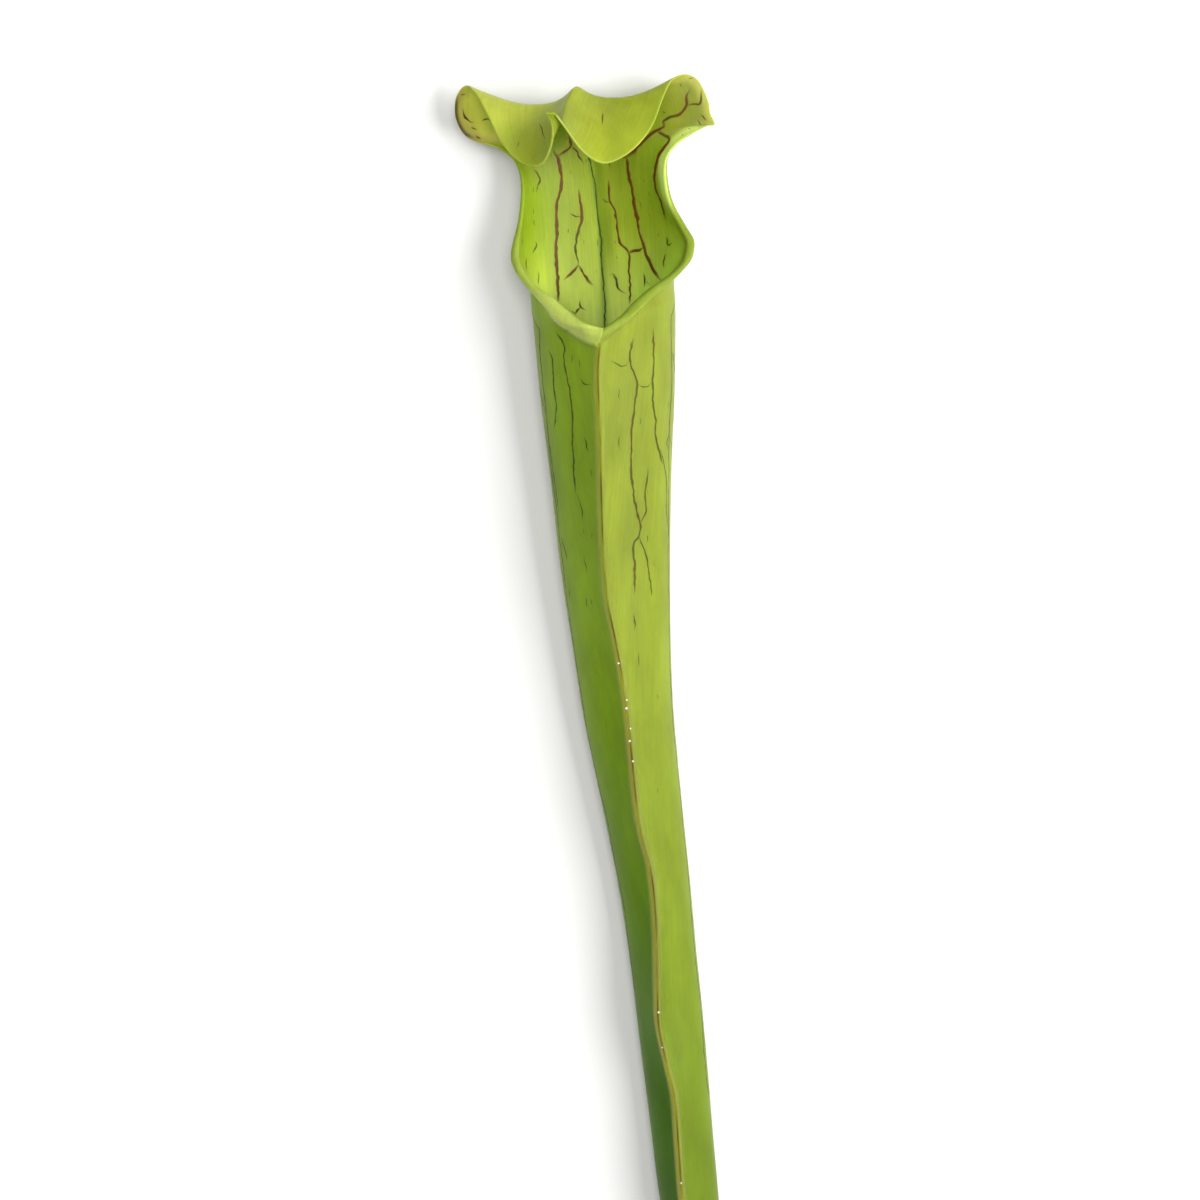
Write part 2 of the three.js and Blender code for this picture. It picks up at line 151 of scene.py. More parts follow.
# %% [markdown]
# ## Curves through the tables
#
# A cubic curve on each span passes through every key, with the slope there taken from the
# keys on both sides. It keeps the leaf's own small kinks, which a spline with handles to
# set would take longer to follow.


# %% A smooth curve and a smooth step
def through(keys, station):
    """Values at stations: on a span of width w with share t, the cubic
    (2t^3-3t^2+1) a + (t^3-2t^2+t) w s_a + (3t^2-2t^3) b + (t^3-t^2) w s_b,
    where a slope s is the rise between the two neighbouring keys over their distance."""
    keys = np.asarray(keys, float)
    place, value = keys[:, 0], keys[:, 1:]
    at = np.clip(np.asarray(station, float), place[0], place[-1])
    i = np.clip(np.searchsorted(place, at, side="right") - 1, 0, len(keys) - 2)
    before = np.maximum(np.arange(len(keys)) - 1, 0)
    after = np.minimum(np.arange(len(keys)) + 1, len(keys) - 1)
    slope = (value[after] - value[before]) / (place[after] - place[before])[:, None]
    width = (place[i + 1] - place[i])[..., None]
    t = (at - place[i])[..., None] / width
    curve = ((2 * t**3 - 3 * t**2 + 1) * value[i] + (t**3 - 2 * t**2 + t) * width * slope[i]
             + (3 * t**2 - 2 * t**3) * value[i + 1] + (t**3 - t**2) * width * slope[i + 1])
    return curve[..., 0] if curve.shape[-1] == 1 else curve


def smooth(x, low, high):
    """3t^2 - 2t^3, where t runs from 0 at low to 1 at high. Given high first, it falls."""
    t = np.clip((x - low) / (high - low), 0, 1)
    return t * t * (3 - 2 * t)


def mix(a, b, share):
    """a + (b - a) share."""
    return a + (b - a) * share


def unit(v):
    """v over its length."""
    return v / np.maximum(np.linalg.norm(v, axis=-1, keepdims=True), 1e-12)


print("tube at the mouth", round(2 * float(through(HALF_WIDTH, 270)), 1), "mm wide")

# %% [markdown]
# ## One surface for the whole leaf
#
# The leaf is a sheet with two parameters. u runs from -1 at the left edge, over 0 at the
# midrib, to 1 at the right edge. Below the notch both edges meet in the front seam, so the
# sheet is a closed tube there. Its section is an egg with the narrow end up, drawn out into a
# wedge towards the wing. Above the notch the section opens, its edges are pulled to the
# measured ones, and it turns into the hood, which is swept from the midrib to its two edges.


# %% The tube's section
EGG = 0.55
FLANK = 0.75
FOLD_WIDTH = 5
MEAN, SWING = 1 - EGG / 2, EGG / 2
WIDEST = np.arccos((np.hypot(MEAN, SWING * np.sqrt(8)) - MEAN) / (4 * SWING))
WIDEST_UP = (1 - np.cos(WIDEST)) / 2
WIDEST_ACROSS = np.sin(WIDEST) * (1 - EGG * WIDEST_UP)


def section_point(side, angle, station):
    """Egg: up = (1 - cos a) / 2, across = sin a (1 - EGG up), scaled to 1 at the widest,
    then mixed towards the straight line from the widest point to the top. The fold along
    the back lifts the wall beside it by height (1 - e^(-|x| / width)) (1 - up)."""
    up = (1 - np.cos(angle)) / 2
    across = np.sin(angle) * (1 - EGG * up) / WIDEST_ACROSS
    along = (angle - WIDEST) / (np.pi - WIDEST)
    straight = FLANK * smooth(along, 0, 1)
    across = mix(across, 1 - along, straight)
    up = mix(up, mix(WIDEST_UP, 1, along), straight)
    x = side * through(HALF_WIDTH, station) * across
    fold = through(FOLD_HEIGHT, station) * (1 - np.exp(-np.abs(x) / FOLD_WIDTH)) * (1 - up)
    lift = through(DEPTH, station) * up + fold
    return through(MIDRIB, station) + np.stack([x, np.zeros_like(x), lift], -1)


# %% The free edges and the seam
def edge_point(side, station):
    """Below the notch the seam's crest at x from its table and z = midrib + depth + rise.
    Above it, the left or the right edge."""
    low = np.minimum(station, NOTCH)
    rise = SEAM_TOP[3] - through(MIDRIB, NOTCH)[2] - through(DEPTH, NOTCH)
    crest = through(MIDRIB, low)[..., 2] + through(DEPTH, low)
    crest = crest + rise * smooth(low, HOLLOW_START, NOTCH)
    seam = np.stack([through(SEAM, low), low, crest], -1)
    high = np.maximum(station, NOTCH)
    free = np.where((side < 0)[..., None], through(LEFT_EDGE, high), through(RIGHT_EDGE, high))
    return np.where((station > NOTCH)[..., None], free, seam)


# %% The outer face
PULLED_FROM = 0.35
PULL_POWER = 1.5
LOOK_AHEAD = 0.5
RIDGE_WIDTH = 2.2
HOOD_BLEND = [288, 316]


def outer_face(u, station):
    """Tube: the section at the angle |u| times the end angle, plus the edge's offset times
    smooth(|u|)^PULL_POWER. Hood: midrib + (x |u|, y u^2, z u^2) of the reach to the edge,
    plus the sag and the ridge along the inward normal times (1 - u^4). The two are mixed
    by station."""
    u, station = np.broadcast_arrays(np.asarray(u, float), np.asarray(station, float))
    side = np.where(u < 0, -1.0, 1.0)
    share = np.abs(u)
    edge = edge_point(side, station)
    end = np.where(station <= NOTCH, np.pi, through(END_ANGLE, np.maximum(station, NOTCH)))
    pull = (smooth(share, PULLED_FROM, 1) ** PULL_POWER)[..., None]
    wall = section_point(side, end * share, station)
    wall = wall + pull * (edge - section_point(side, end, station))
    middle = through(MIDRIB, station)
    ahead = through(MIDRIB, np.minimum(station + LOOK_AHEAD, TIP))
    tangent = unit(ahead - through(MIDRIB, station - LOOK_AHEAD))
    inward = np.stack([np.zeros_like(u), -tangent[..., 2], tangent[..., 1]], -1)
    reach = edge - middle
    size = np.linalg.norm(reach, axis=-1)
    ridge = through(RIDGE_HEIGHT, station)
    fallen = 1 - 1 / (1 + (share * size / RIDGE_WIDTH) ** 2)
    lift = (through(HOOD_SAG, station) * np.sin(np.pi * share) + ridge * fallen) * (1 - share**4)
    swept = reach * np.stack([share, share**2, share**2], -1)
    hood = middle + swept + inward * lift[..., None]
    return mix(wall, hood, smooth(station, *HOOD_BLEND)[..., None])


# %% Its normal
STEP = 0.05
SIDE_STEP = 0.005


def outward(u, station):
    """The difference along the leaf crossed with the difference round it. At the closed
    seam the difference goes from one flank to the other, so its normal points straight up."""
    u, station = np.broadcast_arrays(np.asarray(u, float), np.asarray(station, float))
    closed = (station <= NOTCH) & (np.abs(u) >= 1)
    before = np.where(closed, 1 - SIDE_STEP, np.maximum(u - SIDE_STEP, -1))
    after = np.where(closed, SIDE_STEP - 1, np.minimum(u + SIDE_STEP, 1))
    across = outer_face(after, station) - outer_face(before, station)
    back = (station <= NOTCH) | (station > TIP - STEP)
    low = np.where(back, np.maximum(station - STEP, 0), station)
    high = np.minimum(np.maximum(low + STEP, station), TIP)
    along = outer_face(u, high) - outer_face(u, low)
    return unit(np.cross(along, across))


print("hood's tip at", np.round(outer_face(0.0, TIP), 1), "mm")

# %% [markdown]
# ## Thickness, lip and wing
#
# The lip is the leaf's own edge rolled outwards, thickest at the notch and fading up the
# neck. A tube along the edge would look stuck on, so the roll is made by moving both faces
# apart by their distance from the edge, on a round profile. The wing is a low keel on the
# seam, raised the same way. A leaf that lies down settles a little, so the lowest face is
# flattened where it touches the table.

# %% Distance from the free edges
RIM_SAMPLES = 160
RIM_REACH = 8
FAR_AWAY = 1e3
AT_ONCE = 4000
rim_station = mix(NOTCH + STEP / 10, TIP, np.linspace(0, 1, RIM_SAMPLES + 1))
RIMS = {side: edge_point(np.full_like(rim_station, side), rim_station) for side in (-1, 1)}
RADII = {-1: through(LEFT_LIP, rim_station), 1: through(RIGHT_LIP, rim_station)}


def rim_distance(point, side, station):
    """Least distance from each point to the segments of the free edges, and the lip's
    radius there. t = (p - a).(b - a) / |b - a|^2, held between 0 and 1, is the foot. Points
    are taken AT_ONCE at a time to save memory, and those far below the notch are skipped."""
    flat = point.reshape(-1, 3)
    sides = np.broadcast_to(side, point.shape[:-1]).ravel()
    stations = np.broadcast_to(station, point.shape[:-1]).ravel()
    best = np.full(len(flat), FAR_AWAY)
    radius = np.zeros(len(flat))
    near = stations > NOTCH - RIM_REACH
    for which in (-1, 1):
        start, end = RIMS[which][:-1], RIMS[which][1:]
        run = end - start
        wanted = np.nonzero(near & ((sides == which) | (stations <= NOTCH)))[0]
        for k in range(0, len(wanted), AT_ONCE):
            part = wanted[k:k + AT_ONCE]
            apart = flat[part, None] - start[None]
            t = np.clip((apart * run).sum(-1) / (run * run).sum(-1), 0, 1)
            gap = np.linalg.norm(apart - t[..., None] * run, axis=-1)
            j = gap.argmin(1)
            row = np.arange(len(part))
            at = t[row, j]
            closer = gap[row, j] < best[part]
            best[part] = np.where(closer, gap[row, j], best[part])
            here = mix(RADII[which][j], RADII[which][j + 1], at)
            radius[part] = np.where(closer, here, radius[part])
    shape = point.shape[:-1]
    return best.reshape(shape), radius.reshape(shape)


# %% Both faces of the leaf
UP = np.array([0.0, 0.0, 1.0])
EDGE_BLUNTNESS = 0.12
LIP_FOOT = 2.0
LIP_CENTRE = 0.42
THROWN_REACH = 3
THROWN_FULL = 0.4
TURNED_SHOULDER = 1.8
TURNED_FOOT = 2.9
TURNED_SLOPE = 0.3
TURNED_ACROSS = 0.8
TURNED_END = [282.5, 274.5]
CREST_HALF = 0.7
WING_FOOT = 1.6
SEAM_DEPTH = 1.4
NEAR_SEAM = 4
SLIVER = 0.01


def faces(u, station):
    """Outer = face + normal out + UP wing, inner = face + normal back. Within a radius r of
    the edge out and back are r - wall +- r sqrt(1 - ((r - d) / r)^2); past it the outer face
    comes down smoothly to the wall at LIP_FOOT radii. On the left by the notch the lip is
    turned down: it keeps its height to TURNED_SHOULDER radii and ends at TURNED_FOOT. A
    wide lip leans away from the tube's middle, and the seam's inner face hangs down."""
    u, station = np.broadcast_arrays(np.asarray(u, float), np.asarray(station, float))
    side = np.where(u < 0, -1.0, 1.0)
    place = outer_face(u, station)
    normal = outward(u, station)
    wall = through(WALL, station)
    distance, radius = rim_distance(place, side, station)
    radius = np.maximum(radius, wall / 2)
    share = np.clip((radius - distance) / radius, 0, 1)
    bulge = radius * np.sqrt(np.maximum(1 - share**2, EDGE_BLUNTNESS**2))
    from_seam = np.linalg.norm(place - edge_point(side, station), axis=-1)
    turned = smooth(side * from_seam, TURNED_ACROSS, -TURNED_ACROSS) * smooth(station, *TURNED_END)
    shoulder = radius * mix(1, TURNED_SHOULDER, turned)
    foot = 1 - smooth(distance, shoulder, radius * mix(LIP_FOOT, TURNED_FOOT, turned))
    foot = foot * (1 - TURNED_SLOPE * turned * smooth(distance, radius, shoulder + SLIVER))
    rolled = distance < radius
    out = np.where(rolled, radius - wall + bulge, (2 * radius - wall) * foot)
    back = np.where(rolled, radius - wall - bulge, -wall)

    middle = through(MIDRIB, station)
    lift = LIP_CENTRE * through(DEPTH, station)
    thrown = place - middle
    thrown = unit(np.stack([thrown[..., 0], np.zeros_like(u), thrown[..., 2] - lift], -1))
    lip = (radius - wall / 2) / (LIP_RADIUS - wall / 2) * smooth(distance, THROWN_REACH * radius, 0)
    normal = unit(mix(normal, thrown, smooth(lip, 0, THROWN_FULL)[..., None]))

    outer = place + normal * out[..., None]
    closed = station <= NOTCH
    wing = through(WING_HEIGHT, station) * (1 - smooth(from_seam, CREST_HALF, WING_FOOT))
    outer = outer + UP * np.where(closed, wing, 0)[..., None]
    leaning = np.where(closed, 1 - smooth(from_seam, 0, NEAR_SEAM), 0)[..., None]
    inner = place + mix(normal, UP * SEAM_DEPTH, leaning) * back[..., None]
    outer[..., 2] = np.maximum(outer[..., 2], 0)
    info = {"lip": distance, "radius": radius, "seam": from_seam, "turned": turned}
    return outer, inner, info


# %% [markdown]
# ## The skin as one mesh
#
# The surface is sampled in rows along the leaf and columns round it, closest at the lip,
# the seam and the free edges, where it bends most. Equal steps of u would crowd together
# in some places and leave gaps in others, so the columns are set by their real distance
# from the edge. Both faces, the rims and the two ends are joined into one closed skin, and
# each square is split along its shorter diagonal, which keeps the sheared ones at the notch
# smooth.

# %% Rows and columns
ROW_SPANS = [
    [0, HOLLOW_START, 14], [HOLLOW_START, 240, 99], [240, 262, 16], [262, NOTCH, 26],
    [NOTCH, 283, 44], [283, 300, 34], [300, TIP, 98],
]
EDGE_STEPS = np.array([
    0, 0.05, 0.12, 0.22, 0.35, 0.5, 0.68, 0.9, 1.15, 1.45, 1.8, 2.2, 2.65, 3.15, 3.7, 4.3, 5, 5.8,
])
EDGE_SPREAD = [[255, 1], [NOTCH, 2.2], [277, 2.2], [284, 1.3], [290, 1]]
BETWEEN = 42
ROOM = 14
SAMPLES = 128


def row_stations():
    """Evenly spaced stations on each span, without repeats."""
    parts = [np.linspace(a, b, n, endpoint=False) for a, b, n in ROW_SPANS]
    return np.concatenate(parts + [[TIP]])


def column_shares(side, stations):
    """The |u| of each column: arc length along the row, read backwards from the edge at
    EDGE_STEPS, then evenly to the midrib."""
    samples = np.linspace(0, 1, SAMPLES + 1)
    line = outer_face(side * samples[None], stations[:, None])
    pieces = np.linalg.norm(np.diff(line, axis=1), axis=-1)
    length = np.concatenate([np.zeros((len(stations), 1)), pieces.cumsum(1)], 1)
    total = length[:, -1:]
    spread = np.minimum(1, total / ROOM) * through(EDGE_SPREAD, stations)[:, None]
    near = total - EDGE_STEPS[None, ::-1] * spread
    even = near[:, :1] * np.linspace(0, 1, BETWEEN, endpoint=False)[None]
    target = np.concatenate([even, near], 1)
    return np.array([np.interp(t, row, samples) for t, row in zip(target, length)])


stations = row_stations()
left, right = column_shares(-1, stations), column_shares(1, stations)
u_grid = np.concatenate([-left[:, ::-1], right[:, 1:]], 1)
v_grid = np.broadcast_to(stations[:, None], u_grid.shape)
outer, inner, info = faces(u_grid, v_grid)
print("grid", u_grid.shape, "longest", round(float(np.ptp(outer[..., 1])), 1), "mm")

# %% [markdown]
# ## Colours that follow the leaf
#
# A pitcher is yellow-green, fresher towards the hood and duller at the stalk, with a pale lip,
# paler free edges, and a reddish line along its wing. All of these follow the leaf's own
# lengths, so they are worked out per point from the same two parameters and the
# distances to the edge and the seam, and stored as a colour attribute. The material adds
# the fine grain on top of it. Some of the colours are painted light and shade rather than the
# leaf's own: the lightened throat inside, the deeper green of the left flank, and patches on
# the lobes, the left lip and the wing.


# %% Ground colours along the leaf
def green(r, g, b):
    """A display colour of 0 to 255 as linear light: ((c + 0.055) / 1.055)^2.4, or c / 12.92
    where it is nearly black."""
    c = np.array([r, g, b]) / 255
    return np.where(c <= 0.04045, c / 12.92, ((c + 0.055) / 1.055) ** 2.4)


def ramp(keys, station):
    """A smooth run of named colours by station."""
    return through([[at, *colour] for at, colour in keys], station)


OUTSIDE = [
    (0, green(104, 108, 44)), (30, green(98, 116, 28)), (90, green(106, 126, 26)),
    (200, green(126, 140, 36)), (262, green(126, 138, 40)), (300, green(132, 143, 36)),
    (TIP, green(141, 150, 40)),
]
# Painted light inside: towards the notch, round station 262, the inner face is lightened well past its
# own green. This stands in for light that comes in through the walls and the mouth.
INSIDE_WITH_PAINTED_LIGHT = [
    (HOLLOW_START, green(150, 156, 84)), (200, green(196, 218, 108)),
    (262, green(230, 252, 138)), (278, green(188, 206, 88)), (290, green(140, 156, 40)),
    (302, green(126, 142, 28)), (330, green(126, 136, 30)), (TIP, green(128, 138, 34)),
]
# Painted shade: the left flank, turned away from the side light, is tinted towards these deeper greens.
PAINTED_SHADE_RAMP = [
    (0, green(60, 94, 6)), (60, green(64, 104, 0)), (96, green(74, 114, 0)),
    (160, green(108, 142, 8)), (200, green(122, 154, 14)), (262, green(124, 152, 20)),
    (300, green(134, 152, 30)),
]
print("ground colours", len(OUTSIDE), "outside,", len(INSIDE_WITH_PAINTED_LIGHT), "inside,", len(PAINTED_SHADE_RAMP), "shaded")

# %% [markdown]
# ### Washes
#
# Over the ground colours lie soft patches, as a painter would wash them on. Several are
# painted light and shade: the deeper green of the left flank is painted shade, the pale patch
# on the hood's left lobe is painted light, and inside there is painted shade beside the fold,
# painted light in pale olive on the left lobe and painted shade on the right lobe. Others are
# the leaf's own colour, such as a pink blush and a dry brown margin. Each wash is a row with
# its colour, its strength, and limits. A limit names a measure of the leaf and gives where the
# wash is still nothing and where it is full. On u, the left is below zero. The edge measure is
# the distance from the free edge in millimetres.

# %% Washes of both faces
OUTER_PAINTED_LIGHT = [
    # Painted light: a pale patch on the outer face of the hood's left lobe, where light falls on it.
    [green(196, 202, 90), 0.5, ["u", -0.1, -0.4], ["station", 322, 330], ["station", 342, 333]],
]
INNER_TINTS_AND_PAINTED_LIGHT = [
    # Painted shade: a darker strip just right of the fold's crease inside, where the fold turns from the
    # side light.
    [green(104, 122, 12), 0.7, ["u", 0, 0.02], ["u", 0.15, 0.07], ["station", 280, 292],
     ["station", 318, 312]],
    [green(126, 150, 24), 0.6, ["u", -0.2, -0.8], ["station", 280, 290], ["station", 312, 300]],
    # Painted light: the inner face of the left lobe made pale olive, where the front lobe shades it.
    [green(208, 200, 88), 0.62, ["u", -0.5, -0.85], ["station", 312, 319], ["station", 332, 326]],
    # Painted shade: the inner face of the right lobe made darker and duller.
    [green(116, 117, 28), 0.85, ["u", 0.5, 0.75], ["station", 311, 316]],
    [green(206, 216, 124), 0.7, ["u", 0.1, 0.2], ["edge", 3.2, 1.2], ["station", 293, 301],
     ["station", 317.5, 315]],
    [green(176, 166, 78), 0.6, ["edge", 2.6, 0.6], ["station", 316, 318], ["station", 330, 327]],
]
LIP_COLOUR = green(124, 142, 44)
BORDER_WASH = [LIP_COLOUR, 0.7, ["u", 0.1, 0.2], ["edge", 2.4, 0.5], ["station", 286, 291],
               ["station", 312, 306]]
MARGIN_WASH = [green(156, 166, 66), 0.7, ["edge", 0.5, 0.1], ["station", 308, 316]]
LAST_WASHES = [
    [green(136, 102, 62), 0.45, ["u", -0.1, -0.2], ["edge", 3.2, 0.6], ["station", 314, 318],
     ["station", 328, 325]],
    [green(66, 38, 20), 0.85, ["u", -0.1, -0.2], ["edge", 1.2, 0.4], ["station", 317.6, 319.2],
     ["station", 325.6, 323.6]],
]


def tinted(base, colour, share):
    """base + (colour - base) share, with one share per point."""
    return base + (colour - base) * share[..., None]


def washed(colour, measures, washes):
    """The colour tinted by each wash in turn, its share being its strength times the smooth
    step between the two values of every limit."""
    for tone, strength, *limits in washes:
        steps = [smooth(measures[which], none, full) for which, none, full in limits]
        colour = tinted(colour, tone, strength * np.prod(steps, axis=0))
    return colour


print("washes", len(OUTER_PAINTED_LIGHT) + len(INNER_TINTS_AND_PAINTED_LIGHT) + 2 + len(LAST_WASHES))

# %% The fold's crease, the lip and the wing
# Partly the midrib's own dark green line, partly painted shade in the fold's crease.
CREASE_LINE_AND_SHADE_COLOUR = green(70, 108, 6)
CREASE = [[240, 0], [270.5, 0.005], [283.5, 0.01], [293, 0.01], [302, -0.01], [309.5, -0.04],
          [318, -0.05]]
CREASE_HALF = 0.022
CREASE_LINE_AND_SHADE_STRENGTH = 0.6


def creased(colour, u, station):
    """The fold's crease inside, darkened partly as the midrib's own dark line and partly as painted
    shade in the crease: a bell e^-(d / half)^2 round its course.
    """
    crease = np.exp(-(((u - through(CREASE, station)) / CREASE_HALF) ** 2))
    crease = crease * smooth(station, 240, 262) * smooth(station, 317, 310)
    return tinted(colour, CREASE_LINE_AND_SHADE_COLOUR, CREASE_LINE_AND_SHADE_STRENGTH * crease)


# Painted light: the lip on the left by the notch is made paler, fading up the neck.
PAINTED_LIGHT_LIP_COLOUR = green(184, 198, 96)
LIP_STRENGTH = 0.9
LIP_ROLLED = [0.62, 1.2]
LIP_FADE = [0.6, 2.8]
TURNED_FADE = [2.6, 2.4]
PAINTED_LIGHT_LIP_LOSS = 0.65
PAINTED_LIGHT_LIP_END = [277, 288]


def lipped(colour, u, station, inside, info):
    """The lip's own green where it is rolled, fading over LIP_FADE mm from the edge, further
    where it is turned down, and on the left by the notch a paler green, painted light where that
    side of the lip faces away from the side light."""
    turned = info["turned"] * (not inside)
    full, gone = [fade + more * turned for fade, more in zip(LIP_FADE, TURNED_FADE)]
    lip = LIP_STRENGTH * smooth(info["radius"], *LIP_ROLLED) * smooth(info["lip"], gone, full)
    colour = tinted(colour, LIP_COLOUR, lip)
    # painted light on the left lip
    pale = lip * (u < 0) * (1 - PAINTED_LIGHT_LIP_LOSS * smooth(station, *PAINTED_LIGHT_LIP_END))
    return tinted(colour, PAINTED_LIGHT_LIP_COLOUR, pale)


# Both bands are the wing's own tan; the left one is painted lighter, painted light on the crest's shaded
# left slope.
BAND_COLOURS = {-1: green(158, 157, 32), 1: green(118, 122, 40)}
BAND_HALF = {-1: [1.8, 1.2], 1: [1.35, 0.75]}
BAND_STRENGTH = 0.95
BAND_LOSS = {-1: 0.35, 1: 0.6}
UPPER_WING = [170, 225]
LINE_COLOUR = green(80, 60, 8)
LINE_HALF = [0.42, 0.08]
LINE_LEAST = 0.3


def winged(colour, u, station, info):
    """A tan band on each side of the wing's crest, weaker on the upper tube, the left one also
    lighter as painted light where the crest's left slope is in shade, and on the crest a
    red-brown line of strength 0.65 + 0.3 sin(v / 5.1) + 0.15 sin(v / 1.7 + 1)."""
    tube = smooth(station, NOTCH, 264) * smooth(station, 5, 50)
    for side in (-1, 1):
        strength = BAND_STRENGTH - BAND_LOSS[side] * smooth(station, *UPPER_WING)
        band = smooth(info["seam"], *BAND_HALF[side]) * tube * (np.where(u < 0, -1, 1) == side)
        colour = tinted(colour, BAND_COLOURS[side], strength * band)
    wander = 0.65 + 0.3 * np.sin(station / 5.1) + 0.15 * np.sin(station / 1.7 + 1)
    line = smooth(info["seam"], *LINE_HALF) * tube * np.clip(wander, LINE_LEAST, 1)
    return tinted(colour, LINE_COLOUR, line)


# %% Colour of every point
# The left flank's painted shade starts at u -0.25 and is full by -0.6; it is full below station 285 and
# gone by 305.
PAINTED_SHADE_U = [-0.25, -0.6]
PAINTED_SHADE_END = [305, 285]


def skin_colour(u, station, inside, info):
    """The ground colour by station, then in turn: outside the left flank's painted shade and the
    painted light on the hood's left lobe, inside the inner washes, painted light and shade among
    them, and the crease, then the lip with its painted light on the left, the right border of the
    hood outside, the thin margin, the wing outside, and the left lobe's blush and dry edge."""
    measures = {"u": u, "station": station, "edge": info["lip"]}
    colour = ramp(INSIDE_WITH_PAINTED_LIGHT if inside else OUTSIDE, station)
    if inside:
        colour = creased(washed(colour, measures, INNER_TINTS_AND_PAINTED_LIGHT), u, station)
    else:
        # painted shade on the left flank
        shaded = smooth(u, *PAINTED_SHADE_U) * smooth(station, *PAINTED_SHADE_END)
        colour = tinted(colour, ramp(PAINTED_SHADE_RAMP, station), shaded)
        colour = washed(colour, measures, OUTER_PAINTED_LIGHT)
    colour = lipped(colour, u, station, inside, info)
    colour = washed(colour, measures, [MARGIN_WASH] if inside else [BORDER_WASH, MARGIN_WASH])
    if not inside:
        colour = winged(colour, u, station, info)
    return washed(colour, measures, LAST_WASHES)


outer_colour = skin_colour(u_grid, v_grid, False, info)
inner_colour = skin_colour(u_grid, v_grid, True, info)
print("colour from", np.round(outer_colour.min((0, 1)), 3),
      "to", np.round(outer_colour.max((0, 1)), 3))

# %% [markdown]
# ## The two ends
#
# The stalk was cut straight across. Such a cut shows a thin dark rind, pale pith, and a
# ring of small round bundles, the pipes of the leaf. It is made of rings that shrink from
# the skin's first row towards its middle and sink a little, with the bundles standing out.
# The tube's blind end, far down inside, gets a plain bowl of the same kind.

# %% Rings that close an end
def end_rings(ring, count, depth):
    """ring scaled by s towards its middle m: m + (p - m) s, for s below 1 and above 0,
    and moved along the leaf by depth (1 - s^4). The middle itself comes back too."""
    scale = np.linspace(1, 0, count + 1)[1:-1, None]
    middle = ring.mean(0)
    rings = middle + (ring - middle)[None] * scale[..., None]
    rings[..., 1] += depth * (1 - scale**4)
    return rings, middle + [0, depth, 0], scale


CUT_RINGS = 26
CUT_DEPTH = 0.45
BLIND_RINGS = 8
BLIND_DEPTH = -3.0
cut_rings, cut_middle, cut_scale = end_rings(outer[0, :-1], CUT_RINGS, CUT_DEPTH)
hollow = int(np.searchsorted(stations, HOLLOW_START))
blind_rings, blind_middle, _ = end_rings(inner[hollow, :-1], BLIND_RINGS, BLIND_DEPTH)
print("cut", np.round(np.ptp(outer[0], axis=0)[[0, 2]], 1), "mm across")

# %% Bundles, pith and rind of the cut
BUNDLES = 9
BUNDLE_TURN = 0.4
BUNDLE_SHARPNESS = 8
BUNDLE_RING = 0.68
BUNDLE_SPREAD = 0.075
BUNDLE_HEIGHT = 0.22
BUNDLE_TINT = 1.4
RIND_FROM = [0.86, 0.97]
RIND = green(84, 108, 34)
PITH = green(166, 170, 118)
BUNDLE = green(118, 116, 58)
angle = np.linspace(0, 2 * np.pi, cut_rings.shape[1], endpoint=False)[None]
spot = np.cos(BUNDLES * angle / 2 + BUNDLE_TURN) ** BUNDLE_SHARPNESS
spot = spot * np.exp(-((cut_scale - BUNDLE_RING) / BUNDLE_SPREAD) ** 2)
cut_rings[..., 1] -= BUNDLE_HEIGHT * spot
pith = np.broadcast_to(PITH, cut_rings.shape)
cut_colour = tinted(pith, BUNDLE, np.clip(BUNDLE_TINT * spot, 0, 1))
cut_colour = tinted(cut_colour, RIND, np.broadcast_to(smooth(cut_scale, *RIND_FROM), spot.shape))
print("bundles", BUNDLES, "standing out", BUNDLE_HEIGHT, "mm")

# %% [markdown]
# ## Joining everything
#
# Every block of points keeps its own grid of numbers, so a strip of triangles between two
# rows needs no search. In the closed tube the last column is the first one again. Points
# that nothing uses are dropped, and the sum over all edges shows that the skin is closed.

# %% Numbers of the points, block by block
blocks = [outer, inner[hollow:], cut_rings, cut_middle[None, None], blind_rings,
          blind_middle[None, None]]
blind_colour = inner_colour[hollow, 0]
colours = [outer_colour, inner_colour[hollow:], cut_colour, PITH[None, None],
           np.broadcast_to(blind_colour, blind_rings.shape), blind_colour[None, None]]
counts = [block.shape[0] * block.shape[1] for block in blocks]
starts = np.cumsum([0] + counts[:-1])
out_id, in_id, cut_id, cut_end, blind_id, blind_end = [
    start + np.arange(count).reshape(block.shape[:2])
    for start, count, block in zip(starts, counts, blocks)]
points = np.concatenate([block.reshape(-1, 3) for block in blocks])
tints = np.concatenate([colour.reshape(-1, 3) for colour in colours])
closed = stations <= NOTCH
out_id[closed, -1] = out_id[closed, 0]
in_id[closed[hollow:], -1] = in_id[closed[hollow:], 0]
notch = int(np.searchsorted(stations, NOTCH))


# %% Triangles
def strip(points, a, b):
    """Two triangles per square of the numbered rows a and b, split along the diagonal
    that is shorter."""
    p, q, r, s = a[:, :-1], b[:, :-1], a[:, 1:], b[:, 1:]
    first = np.linalg.norm(points[p] - points[s], axis=-1)
    second = np.linalg.norm(points[q] - points[r], axis=-1)
    one = np.stack([p, q, s, p, s, r], -1)
    two = np.stack([p, q, r, r, q, s], -1)
    return np.where((first < second)[..., None], one, two).reshape(-1, 3)


def wrapped(ring):
    """The rows with their first number repeated at the end."""
    return np.concatenate([ring, ring[:, :1]], 1)


def fan(middle, ring):
    """Triangles from the middle to each pair of neighbours on a wrapped ring."""
    return np.stack([np.full(len(ring) - 1, middle), ring[:-1], ring[1:]], -1)


